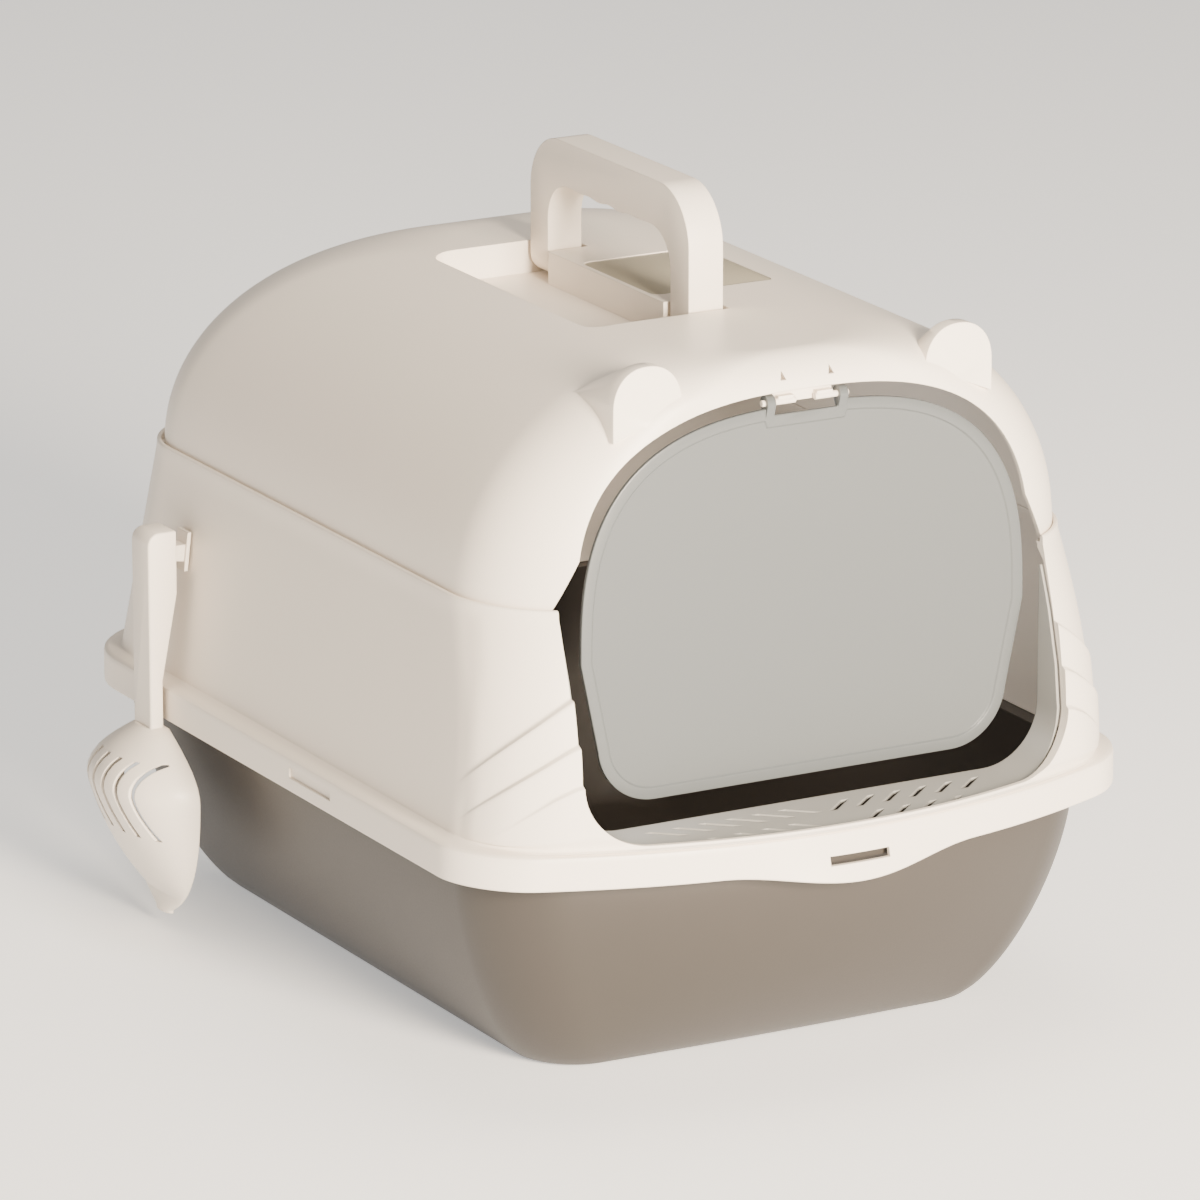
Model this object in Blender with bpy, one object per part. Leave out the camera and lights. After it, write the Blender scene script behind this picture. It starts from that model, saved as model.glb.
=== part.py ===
"""Hooded cat litter box: a tapered tray, a hood frame that sits over its rim, a domed top cover
hinged at the rear seam, a swinging entry flap, a slotted entry step, a folding carry handle,
a filter hatch in the roof and a scoop hung on the left wall.

Metres, +Z up. The origin is the centre of the tray's flat base, the entry faces -Y.
"""
import math

import bmesh
import bpy
from mathutils import Matrix, Vector

# ---- driving dimensions -------------------------------------------------------------------
WALL = 0.0026            # moulded wall of hood frame and top cover
TOUCH = 0.0003           # gap between faces that rest on each other
SLIP = 0.0008            # gap around a piece that lifts out or over another
CORNER_STEPS = 6         # facets in a quarter of a plan corner
FRONT_STEPS = 12         # facets along the bowed front
SIDE_STEPS = 3           # facets along a straight side

# skirt of the hood frame, the widest outline of the box
SKIRT_HALF_W = 0.2050
SKIRT_REAR = 0.2455
SKIRT_FRONT = 0.2348     # at the corners, before the bow
SKIRT_BOW = 0.0527       # how far the front bulges at its middle
SKIRT_R_FRONT = 0.034
SKIRT_R_REAR = 0.060
SKIRT_BOTTOM = 0.1220
LEDGE_TOP = 0.1415       # top of the ledge that sits on the tray's rim
TONGUE_DROP = 0.0080     # the skirt dips by this much at the front catch
TONGUE_HALF_W = 0.078
TONGUE_FLARE = 0.0070    # and leans out by this much
CATCH_W = 0.036          # slot in the tongue, and its height and centre
CATCH_H = 0.0050
CATCH_Z = 0.1265
SIDE_CATCH_L = 0.048     # blind grip slot in each side of the skirt
SIDE_CATCH_DEEP = 0.0014
SIDE_CATCH_H = 0.0060
SIDE_CATCH_Y = -0.0540
SIDE_CATCH_Z = 0.1330

# walls of the hood frame between ledge and seam
FOOT_Z = 0.1440
FOOT_HALF_W = 0.1960
FOOT_REAR = 0.2400
FOOT_FRONT = 0.2335
FOOT_BOW = 0.0520
FOOT_R = 0.038
SEAM_Z = 0.2628          # ledge that the top cover sits on
SEAM_HALF_W = 0.1825
SEAM_REAR = 0.2155
SEAM_FRONT = 0.2380
SEAM_BOW = 0.0030
SEAM_R = 0.055
SEAM_R_FRONT = 0.068
WALL_LEVELS = (FOOT_Z, 0.156, 0.176, 0.200, 0.228, 0.2535)   # heights of the wall's outlines
LIP_HEIGHT = 0.0040      # the frame stands this far above its ledge, outside the cover
LIP_T = 0.0028
LEDGE_T = 0.0058

# tray
BASE_HALF_W = 0.1340
BASE_HALF_L = 0.1950
BASE_R = 0.032
TRAY_HALF_W = 0.1870
TRAY_FRONT = 0.2247
TRAY_REAR = 0.2315
TRAY_BOW = 0.0480
TRAY_R = 0.040
TRAY_SHOULDER_Z = 0.1150
TRAY_FULLNESS = 1.45     # exponent of the side's curve, 1 is a straight slope, 2 an ellipse
TRAY_WALL = 0.0028
TRAY_FLOOR = 0.0030

# top cover; the roof's height also carries the ears, handle, entry arch and flap
ROOF_Z = 0.3870
ROOF_HALF_W = 0.0533     # half width of the flat roof before its sides turn down
ROOF_REAR = 0.1000
FACE_FRONT = 0.2300      # front face of the cover at roof height
SHOULDER_R = 0.0200      # rounding from front face to roof
ROOF_STEPS = 9

# entry opening, in front view
ENTRY_HALF_W = 0.1480
ENTRY_SEAM_HALF_W = 0.1510
ENTRY_BOTTOM = 0.1440
ENTRY_TOP = ROOF_Z - 0.0180
ENTRY_R = 0.034
ENTRY_ARCH_HALF_W = 0.1380
ENTRY_ARCH = 2.6         # exponent of the arch above the seam
ENTRY_FLARE_Z = 0.2920   # below this the sides of the arch run out to the seam

# ears
EAR_X = 0.0945
EAR_HALF_W = 0.0205
EAR_FRONT = 0.2265
EAR_DEPTH = 0.0430
EAR_TIP_Z = ROOF_Z + 0.0045
EAR_ARCH_Z = ROOF_Z - 0.0180   # the ear's arch starts here
EAR_ARCH = 2.2
EAR_FOOT_Z = ROOF_Z - 0.0350   # its outer side runs down to here

# carry handle and its recess in the roof
HANDLE_Y0, HANDLE_Y1 = -0.1240, 0.0530
HANDLE_TOP = ROOF_Z + 0.0645
HANDLE_W = 0.0210        # width of the strap, in X
HANDLE_LEG = 0.0200      # leg, in Y
HANDLE_GRIP = 0.0250     # grip, in Z
HANDLE_R_OUT = 0.032
HANDLE_R_IN = 0.022
HANDLE_PIVOT_Z = ROOF_Z - 0.0060
PIN_R = 0.0020
PIN_RUN = 0.0003         # running clearance around the pins
RECESS_DEPTH = 0.0185
RECESS_GAP = 0.0018      # play between handle and recess
WELL_T = 0.0024          # wall of the wells under the roof
POCKET_GAP = 0.0040      # play between a leg and its pocket towards the hatch

# filter hatch
HATCH_X0, HATCH_X1 = -0.0095, 0.0655
HATCH_Y0, HATCH_Y1 = -0.0845, -0.0015
HATCH_DEPTH = 0.0055
HATCH_LEDGE = 0.0035
HATCH_T = 0.0026
BASKET_DEPTH = 0.0190
BASKET_T = 0.0016
VENTS = 8
VENT_W = 0.0030
PAD_T = 0.0090

# entry flap and its hinge
DOOR_HALF_W = 0.1350
DOOR_BOTTOM = 0.1560
DOOR_TOP = ROOF_Z - 0.0270
DOOR_SHOULDER_Z = 0.2350 # the flap is widest here
DOOR_ARCH = 2.8
DOOR_RELIEF = (0.0190, 0.0042)   # half width and depth of the relief in its top edge
DOOR_T = 0.0025
DOOR_Y = -0.2310         # front face
DOOR_R_LOW = 0.034
DOOR_AXIS_Y = -0.2290
DOOR_AXIS_Z = ROOF_Z - 0.0245
DOOR_LUG_X = 0.0220
DOOR_LUG_W = 0.0050
DOOR_LUG_R = 0.0042
DOOR_PIN_R = 0.0018
DOOR_PIN_INNER = 0.0060
DOOR_PIN_OUTER = 0.0262

BRACKET_HALF_W = 0.0180
BRACKET_T = 0.0018
BRACKET_ARM_X = (0.0070, 0.0165)
NOTCH_X = 0.0145         # two small notches over the hinge, their centre and size
NOTCH_HALF_W = 0.0017
NOTCH_H = 0.0045

# entry step
STEP_T = 0.0020
STEP_FLOOR_Z = 0.1415    # top of the step, just under the lip of the opening
STEP_Y_REAR = -0.2290
STEP_CHEEK_TOP = 0.2510
STEP_CLEAR = 0.0018      # gap between the step and the inside of the wall around it
SLOT_PITCH = 0.0162
SLOT_RUN = (0.0150, 0.0135)   # how far a slot runs sideways and forwards
SLOT_W = 0.0048
SLOT_COLUMNS = 6
SLOT_FIRST_X = 0.0120
SLOT_ROW_Y = (-0.2475, -0.2715)
SLOT_RIM = 0.0030        # least material left between a slot and the front edge
SLOT_LEAST = -0.3        # a slot cut shorter than this share of its half is left out

# rear hinge of the top cover
LID_AXIS_Y = 0.2225
LID_AXIS_Z = 0.2690
LID_KNUCKLE_R = 0.0045
LID_KNUCKLE_X = 0.0900
LID_KNUCKLE_W = 0.0150
LID_EAR_W = 0.0060
LID_PIN_R = 0.0018

# scoop and its hook
SCOOP_Y = 0.1290
SCOOP_OUT_X = -0.2155    # outer face of the handle's web
SCOOP_TOP = 0.2310
SCOOP_HANDLE_W = 0.0215
SCOOP_HANDLE_DEEP = 0.0175
SCOOP_NECK_DEEP = 0.0080
SCOOP_NECK_Z = 0.1190
SCOOP_TIP_Z = 0.0090
SCOOP_LEAN = 0.033       # how fast the pan's mouth leans towards the tray, X per Z
SCOOP_TAPER = 0.082      # how fast the pan gets shallower below the neck, X per Z
SCOOP_HALF_W = 0.0505
SCOOP_PAN_DEEP = 0.0425
SCOOP_T = 0.0020
SCOOP_SLOTS = 6
SCOOP_SLOT_PITCH = 0.0125
SCOOP_SLOT_W = 0.0038
SCOOP_SLOT_Z = (0.060, 0.106)
SCOOP_LIP = 0.0035       # lip at the wall side of the handle's top, caught by the hook
HOOK_W = 0.0100
HOOK_T = 0.0052
HOOK_PLATE = (0.0130, 0.0220, 0.0022)

COLOURS = {
    "cream": (0.93, 0.89, 0.83, 1.0),
    "taupe": (0.33, 0.30, 0.27, 1.0),
    "pale_grey": (0.52, 0.52, 0.51, 1.0),
    "smoke": (0.58, 0.59, 0.58, 1.0),
    "tan": (0.62, 0.57, 0.48, 1.0),
    "carbon": (0.04, 0.04, 0.045, 1.0),
}


# ---- helpers ------------------------------------------------------------------------------
def material(name, roughness=0.45):
    """One Principled material for each colour of plastic."""
    mat = bpy.data.materials.get(name)
    if mat is None:
        mat = bpy.data.materials.new(name)
        mat.use_nodes = True
        shader = mat.node_tree.nodes["Principled BSDF"]
        shader.inputs["Base Color"].default_value = COLOURS[name]
        shader.inputs["Roughness"].default_value = roughness
        shader.inputs["Metallic"].default_value = 0.0
    return mat


def add_object(name, bm, colour, pivot=(0.0, 0.0, 0.0), smooth=True):
    """Turn a bmesh in world places into an object whose origin is at its pivot."""
    bmesh.ops.recalc_face_normals(bm, faces=bm.faces)
    mesh = bpy.data.meshes.new(name)
    bm.to_mesh(mesh)
    bm.free()
    mesh.transform(Matrix.Translation(-Vector(pivot)))
    mesh.materials.append(material(colour))
    if smooth:
        mesh.shade_smooth()
        mesh.set_sharp_from_angle(angle=math.radians(35))
    obj = bpy.data.objects.new(name, mesh)
    obj.location = pivot
    bpy.context.scene.collection.objects.link(obj)
    return obj


def add_cutter(name, bm):
    """A hidden helper solid for a Boolean."""
    obj = add_object(name, bm, "cream", smooth=False)
    obj.hide_render = True
    obj.display_type = "WIRE"
    return obj


def boolean(target, tool, operation):
    """Add an exact Boolean of one solid to another."""
    mod = target.modifiers.new(operation.lower() + "_" + tool.name, "BOOLEAN")
    mod.operation = operation
    mod.solver = "EXACT"
    mod.object = tool


def faces_between(bm, ring_a, ring_b):
    """Quads between two rings with the same number of points."""
    count = len(ring_a)
    for i in range(count):
        j = (i + 1) % count
        bm.faces.new((ring_a[i], ring_a[j], ring_b[j], ring_b[i]))


def loft(rings, closed=False):
    """A solid through a list of rings: capped at both ends, or closed on itself."""
    bm = bmesh.new()
    made = [[bm.verts.new(p) for p in ring] for ring in rings]
    for a, b in zip(made, made[1:]):
        faces_between(bm, a, b)
    if closed:
        faces_between(bm, made[-1], made[0])
    else:
        bm.faces.new(made[0])
        bm.faces.new(made[-1])
    return bm


def outline(half_w, front, rear, r_front, r_rear, z, bow=0.0):
    """Plan outline, anticlockwise from above, with a front that bows by so much at its middle."""
    points = []

    def corner(cx, cy, radius, start):
        for k in range(CORNER_STEPS + 1):
            a = math.radians(start + 90.0 * k / CORNER_STEPS)
            points.append([cx + radius * math.cos(a), cy + radius * math.sin(a)])

    def run(x0, y0, x1, y1, steps):
        for k in range(1, steps):
            t = k / steps
            points.append([x0 + (x1 - x0) * t, y0 + (y1 - y0) * t])

    xf, xr = half_w - r_front, half_w - r_rear
    yf, yr = -(front - r_front), rear - r_rear
    corner(-xf, yf, r_front, 180.0)
    run(-xf, -front, xf, -front, FRONT_STEPS)
    corner(xf, yf, r_front, 270.0)
    run(half_w, yf, half_w, yr, SIDE_STEPS)
    corner(xr, yr, r_rear, 0.0)
    run(xr, rear, -xr, rear, SIDE_STEPS)
    corner(-xr, yr, r_rear, 90.0)
    run(-half_w, yr, -half_w, yf, SIDE_STEPS)
    for p in points:
        if p[1] < yf + 1e-9:
            p[1] -= bow * max(0.0, 1.0 - (p[0] / half_w) ** 2)
    return [(x, y, z) for x, y in points]


def rounded_rect(x0, y0, x1, y1, radius, steps=4):
    """Flat rounded rectangle as a list of pairs, anticlockwise."""
    points = []
    for cx, cy, start in ((x1 - radius, y1 - radius, 0), (x0 + radius, y1 - radius, 90),
                          (x0 + radius, y0 + radius, 180), (x1 - radius, y0 + radius, 270)):
        for k in range(steps + 1):
            a = math.radians(start + 90.0 * k / steps)
            points.append((cx + radius * math.cos(a), cy + radius * math.sin(a)))
    return points


def prism(pairs, low, high, axis="Z"):
    """Extrude a flat outline between two values of an axis."""
    def place(a, b, c):
        if axis == "Z":
            return (a, b, c)
        if axis == "Y":
            return (a, c, b)
        return (c, a, b)
    return loft([[place(a, b, low) for a, b in pairs], [place(a, b, high) for a, b in pairs]])


def box(x0, y0, z0, x1, y1, z1):
    """A plain box between two corners."""
    return prism([(x0, y0), (x1, y0), (x1, y1), (x0, y1)], z0, z1)


def rod(axis, centre, radius, low, high, sides=16):
    """A cylinder along X, Y or Z; centre is the pair of its other two coordinates."""
    pairs = [(centre[0] + radius * math.cos(2 * math.pi * k / sides),
              centre[1] + radius * math.sin(2 * math.pi * k / sides)) for k in range(sides)]
    return prism(pairs, low, high, axis)


def joined(*parts):
    """Several bmeshes as one, for a cutter or a union made of separate bodies."""
    out = bmesh.new()
    for part in parts:
        mesh = bpy.data.meshes.new("tmp")
        bmesh.ops.recalc_face_normals(part, faces=part.faces)
        part.to_mesh(mesh)
        part.free()
        out.from_mesh(mesh)
        bpy.data.meshes.remove(mesh)
    return out


def lerp(a, b, t):
    return a + (b - a) * t


# ---- shared outlines ----------------------------------------------------------------------
def skirt_ring(z, inset=0.0, drop=0.0):
    """Outline of the skirt; drop lowers and flares the middle of its front into a tongue."""
    ring = outline(SKIRT_HALF_W - inset, SKIRT_FRONT - inset, SKIRT_REAR - inset,
                   SKIRT_R_FRONT - inset, SKIRT_R_REAR - inset, z, SKIRT_BOW)
    out = []
    for x, y, height in ring:
        if y < 0 and abs(x) < TONGUE_HALF_W:
            share = 0.5 * (1 + math.cos(math.pi * x / TONGUE_HALF_W))
            height -= drop * share
            y -= TONGUE_FLARE * share * drop / TONGUE_DROP
        out.append((x, y, height))
    return out


def frame_ring(z, inset=0.0):
    """Outline of the hood frame's wall at a height between the ledge and the seam."""
    t = min(1.0, max(0.0, (SEAM_Z - z) / (SEAM_Z - FOOT_Z)))
    belly = 0.0085 * math.sin(math.pi * t)
    bow = lerp(SEAM_BOW, FOOT_BOW, t ** 1.6)
    return outline(lerp(SEAM_HALF_W, FOOT_HALF_W, t) - inset,
                   lerp(SEAM_FRONT, FOOT_FRONT, t) + belly - inset,
                   lerp(SEAM_REAR, FOOT_REAR, t) - inset,
                   lerp(SEAM_R_FRONT, FOOT_R, t) - inset,
                   lerp(SEAM_R, SKIRT_R_REAR, t) - inset, z, bow)


def frame_half_w(z):
    """Half width of the hood frame's wall at a height."""
    return lerp(SEAM_HALF_W, FOOT_HALF_W, (SEAM_Z - z) / (SEAM_Z - FOOT_Z))


def cover_ring(turn, inset=0.0):
    """Outline of the top cover; turn is 0 at the seam and 90 degrees at the roof."""
    clear = LIP_T + SLIP / 2
    c, s = math.cos(math.radians(turn)), math.sin(math.radians(turn))
    rise = ROOF_Z - SEAM_Z
    z = SEAM_Z + TOUCH + (rise - TOUCH - inset) * s
    half_w = lerp(ROOF_HALF_W, SEAM_HALF_W - clear, c) - inset * c
    rear = lerp(ROOF_REAR, SEAM_REAR - clear, c) - inset * c
    drop_z = ROOF_Z - SHOULDER_R
    over = max(0.0, (z - drop_z) / (ROOF_Z - inset - drop_z))
    round_in = SHOULDER_R * (1 - math.sqrt(max(0.0, 1 - over ** 2)))
    front = lerp(SEAM_FRONT - clear, FACE_FRONT, s) - round_in - inset * (1 - over)
    r_front = min(lerp(SEAM_R_FRONT - clear, 0.050, s), half_w - 0.004) - inset * 0.5
    r_rear = min(lerp(SEAM_R, 0.050, s), half_w - 0.003) - inset * 0.5
    return outline(half_w, front, rear, r_front, r_rear, z, SEAM_BOW)


def tray_ring(z, inset=0.0):
    """Outline of the tray's wall, a curve that swells from the base to the shoulder."""
    t = min(1.0, z / TRAY_SHOULDER_Z)
    s = (1 - (1 - t) ** TRAY_FULLNESS) ** (1 / TRAY_FULLNESS)
    return outline(lerp(BASE_HALF_W, TRAY_HALF_W, s) - inset,
                   lerp(BASE_HALF_L, TRAY_FRONT, s) - inset,
                   lerp(BASE_HALF_L, TRAY_REAR, s) - inset,
                   lerp(BASE_R, TRAY_R, s) - inset, lerp(BASE_R, TRAY_R, s) - inset,
                   z, TRAY_BOW * s)


def arch(half_w, bottom_z, top_z, power, steps, start_z=None):
    """Right half of an arch above a level, from its foot to its crown, as (x, z) pairs."""
    share = 0.0 if start_z is None else (start_z - bottom_z) / (top_z - bottom_z)
    first = math.asin(share ** (power / 2))
    pairs = []
    for k in range(steps + 1):
        a = lerp(first, math.pi / 2, k / steps)
        x = half_w * max(0.0, math.cos(a)) ** (2 / power)
        pairs.append((x, bottom_z + (top_z - bottom_z) * math.sin(a) ** (2 / power)))
    return pairs


def mirrored(pairs):
    """Right half of an outline, from its foot to its crown, with its left half added."""
    return pairs + [(-x, z) for x, z in reversed(pairs[:-1])]


def entry_outline(top=None):
    """Entry opening in front view; with top given, its sides end there as a U."""
    centre, pairs = ENTRY_HALF_W - ENTRY_R, []
    for side, start in ((-1, 180), (1, 270)):
        for k in range(6):
            a = math.radians(start + 90.0 * k / 5)
            pairs.append((side * centre + ENTRY_R * math.cos(a),
                          ENTRY_BOTTOM + ENTRY_R + ENTRY_R * math.sin(a)))
    if top is not None:
        return pairs + [(ENTRY_HALF_W, top), (-ENTRY_HALF_W, top)]
    crown = arch(ENTRY_ARCH_HALF_W, SEAM_Z, ENTRY_TOP, ENTRY_ARCH, 10, ENTRY_FLARE_Z)
    return pairs + mirrored([(ENTRY_SEAM_HALF_W, SEAM_Z)] + crown)


# ---- tray and hood frame ------------------------------------------------------------------
def make_tray():
    """Tray with an outward rim that the hood frame's ledge rests on."""
    rim_in = WALL + SLIP
    rim_top = LEDGE_TOP - WALL - TOUCH
    levels = [0.0, 0.004, 0.012, 0.026, 0.045, 0.068, 0.092, TRAY_SHOULDER_Z]
    inner = [tray_ring(max(z, TRAY_FLOOR), TRAY_WALL) for z in levels]
    inner[0] = tray_ring(TRAY_FLOOR, TRAY_WALL + 0.004)
    inner[1] = tray_ring(TRAY_FLOOR + 0.003, TRAY_WALL)
    rim_under = rim_top - 0.0028
    rim = [tray_ring(rim_top, TRAY_WALL), skirt_ring(rim_top, rim_in),
           skirt_ring(SKIRT_BOTTOM + 0.0015, rim_in, 0.0),
           skirt_ring(SKIRT_BOTTOM + 0.0015, rim_in + 0.0024, 0.0),
           skirt_ring(rim_under, rim_in + 0.0024), tray_ring(rim_under)]
    outer = [tray_ring(z) for z in reversed(levels)]
    return add_object("litter_tray", loft(inner + rim + outer), "taupe")


def make_frame():
    """Hood frame: skirt, ledge and wall, with the lower half of the entry cut out of it."""
    rings = [skirt_ring(SKIRT_BOTTOM, 0.0, TONGUE_DROP), skirt_ring(LEDGE_TOP - 0.003),
             skirt_ring(LEDGE_TOP, 0.0022), frame_ring(LEDGE_TOP + 0.0006, -0.0010)]
    rings += [frame_ring(z) for z in WALL_LEVELS]
    rings += [frame_ring(SEAM_Z + LIP_HEIGHT - 0.0012), frame_ring(SEAM_Z + LIP_HEIGHT, 0.0012),
              frame_ring(SEAM_Z + LIP_HEIGHT, LIP_T), frame_ring(SEAM_Z, LIP_T),
              frame_ring(SEAM_Z, LEDGE_T), frame_ring(SEAM_Z - 0.004, LEDGE_T)]
    rings += [frame_ring(z, WALL) for z in reversed(WALL_LEVELS)]
    rings += [frame_ring(LEDGE_TOP - WALL, WALL), skirt_ring(LEDGE_TOP - WALL, WALL),
              skirt_ring(SKIRT_BOTTOM, WALL, TONGUE_DROP)]
    frame = add_object("hood_frame", loft(rings, closed=True), "cream")
    pairs = entry_outline(top=SEAM_Z + 0.03)
    boolean(frame, add_cutter("cut_entry_low", prism(pairs, -0.34, -0.19, "Y")), "DIFFERENCE")
    slots = joined(
        box(-CATCH_W / 2, -0.32, CATCH_Z - CATCH_H / 2, CATCH_W / 2,
            -(SKIRT_FRONT + SKIRT_BOW - WALL - 0.004), CATCH_Z + CATCH_H / 2),
        box(-SKIRT_HALF_W - 0.015, SIDE_CATCH_Y - SIDE_CATCH_L / 2,
            SIDE_CATCH_Z - SIDE_CATCH_H / 2, -(SKIRT_HALF_W - SIDE_CATCH_DEEP),
            SIDE_CATCH_Y + SIDE_CATCH_L / 2, SIDE_CATCH_Z + SIDE_CATCH_H / 2),
        box(SKIRT_HALF_W - SIDE_CATCH_DEEP, SIDE_CATCH_Y - SIDE_CATCH_L / 2,
            SIDE_CATCH_Z - SIDE_CATCH_H / 2, SKIRT_HALF_W + 0.015,
            SIDE_CATCH_Y + SIDE_CATCH_L / 2, SIDE_CATCH_Z + SIDE_CATCH_H / 2))
    boolean(frame, add_cutter("cut_catches", slots), "DIFFERENCE")
    lugs = []
    for side in (-1, 1):
        for k in (-1, 1):
            x = side * LID_KNUCKLE_X + k * (LID_KNUCKLE_W + LID_EAR_W) / 2
            lugs += knuckle(x, LID_EAR_W - 2 * TOUCH, SEAM_REAR - 0.0010, LID_AXIS_Z - 0.0090,
                            SEAM_REAR + 0.0004)
    for i, lug in enumerate(lugs):
        boolean(frame, add_cutter(f"frame_knuckle_{i}", lug), "UNION")
    boolean(frame, add_cutter("frame_pin_bores", pin_bores()), "DIFFERENCE")
    return frame


def knuckle(x, width, wall_y, web_z, out_y):
    """One hinge knuckle; its web runs level from the wall to out_y, then into the round."""
    pairs = []
    for k in range(13):
        a = math.radians(-120 + 240.0 * k / 12)
        pairs.append((LID_AXIS_Y + LID_KNUCKLE_R * math.cos(a),
                      LID_AXIS_Z + LID_KNUCKLE_R * math.sin(a)))
    top = min(LID_AXIS_Z + LID_KNUCKLE_R * 0.6, web_z + 0.0075)
    pairs += [(wall_y, top), (wall_y, web_z), (out_y, web_z)]
    return [prism(pairs, x - width / 2, x + width / 2, "X")]


def pin_bores():
    """Bores for both hinge pins."""
    reach = LID_KNUCKLE_W / 2 + LID_EAR_W + 0.003
    return joined(*[rod("X", (LID_AXIS_Y, LID_AXIS_Z), LID_PIN_R + PIN_RUN,
                        s * LID_KNUCKLE_X - reach, s * LID_KNUCKLE_X + reach)
                    for s in (-1, 1)])


def make_lid_pins():
    """The two pins of the rear hinge."""
    reach = LID_KNUCKLE_W / 2 + LID_EAR_W + 0.001
    for name, s in (("lid_pin_left", -1), ("lid_pin_right", 1)):
        body = rod("X", (LID_AXIS_Y, LID_AXIS_Z), LID_PIN_R, s * LID_KNUCKLE_X - reach,
                   s * LID_KNUCKLE_X + reach)
        add_object(name, body, "cream", (s * LID_KNUCKLE_X, LID_AXIS_Y, LID_AXIS_Z))


# ---- top cover ----------------------------------------------------------------------------
def recess_outline(grow=0.0):
    """C-shaped recess around the hatch: a bay for the folded grip and a pocket at each leg."""
    left = -(HANDLE_TOP - HANDLE_PIVOT_Z) - RECESS_GAP - grow
    right = HANDLE_W / 2 + RECESS_GAP + grow
    neck = HATCH_X0 - 0.0030 + grow
    y0, y1 = HANDLE_Y0 - RECESS_GAP - 0.0027 - grow, HANDLE_Y1 + RECESS_GAP + 0.0022 + grow
    inner0 = HANDLE_Y0 + HANDLE_LEG + POCKET_GAP + grow
    inner1 = HANDLE_Y1 - HANDLE_LEG - POCKET_GAP - grow
    r = 0.010
    pairs = []
    for cx, cy, start in ((left + r, y1 - r, 90), (left + r, y0 + r, 180)):
        for k in range(5):
            a = math.radians(start + 90.0 * k / 4)
            pairs.append((cx + r * math.cos(a), cy + r * math.sin(a)))
    return pairs + [(right, y0), (right, inner0), (neck, inner0), (neck, inner1),
                    (right, inner1), (right, y1)]


def ear(side):
    """One cat ear: an upright arch flush with the front face that slopes away behind."""
    bm = bmesh.new()
    half = arch(EAR_HALF_W, EAR_ARCH_Z, EAR_TIP_Z, EAR_ARCH, 5)
    front = [(EAR_HALF_W, EAR_FOOT_Z)] + mirrored(half)
    for x, z in front:
        bm.verts.new((side * (EAR_X + x), -EAR_FRONT, z))
        bm.verts.new((side * (EAR_X + x * 0.9), -(EAR_FRONT - 0.006), z))
    for x, y, z in ((EAR_X + EAR_HALF_W, EAR_FRONT - EAR_DEPTH, EAR_ARCH_Z),
                    (EAR_X + EAR_HALF_W * 0.5, EAR_FRONT - EAR_DEPTH, EAR_ARCH_Z + 0.0040),
                    (EAR_X - EAR_HALF_W, EAR_FRONT - EAR_DEPTH * 0.6, EAR_ARCH_Z - 0.0010)):
        bm.verts.new((side * x, -y, z))
    bmesh.ops.convex_hull(bm, input=bm.verts)
    loose = [v for v in bm.verts if not v.link_faces]
    bmesh.ops.delete(bm, geom=loose, context="VERTS")
    return bm


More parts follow.
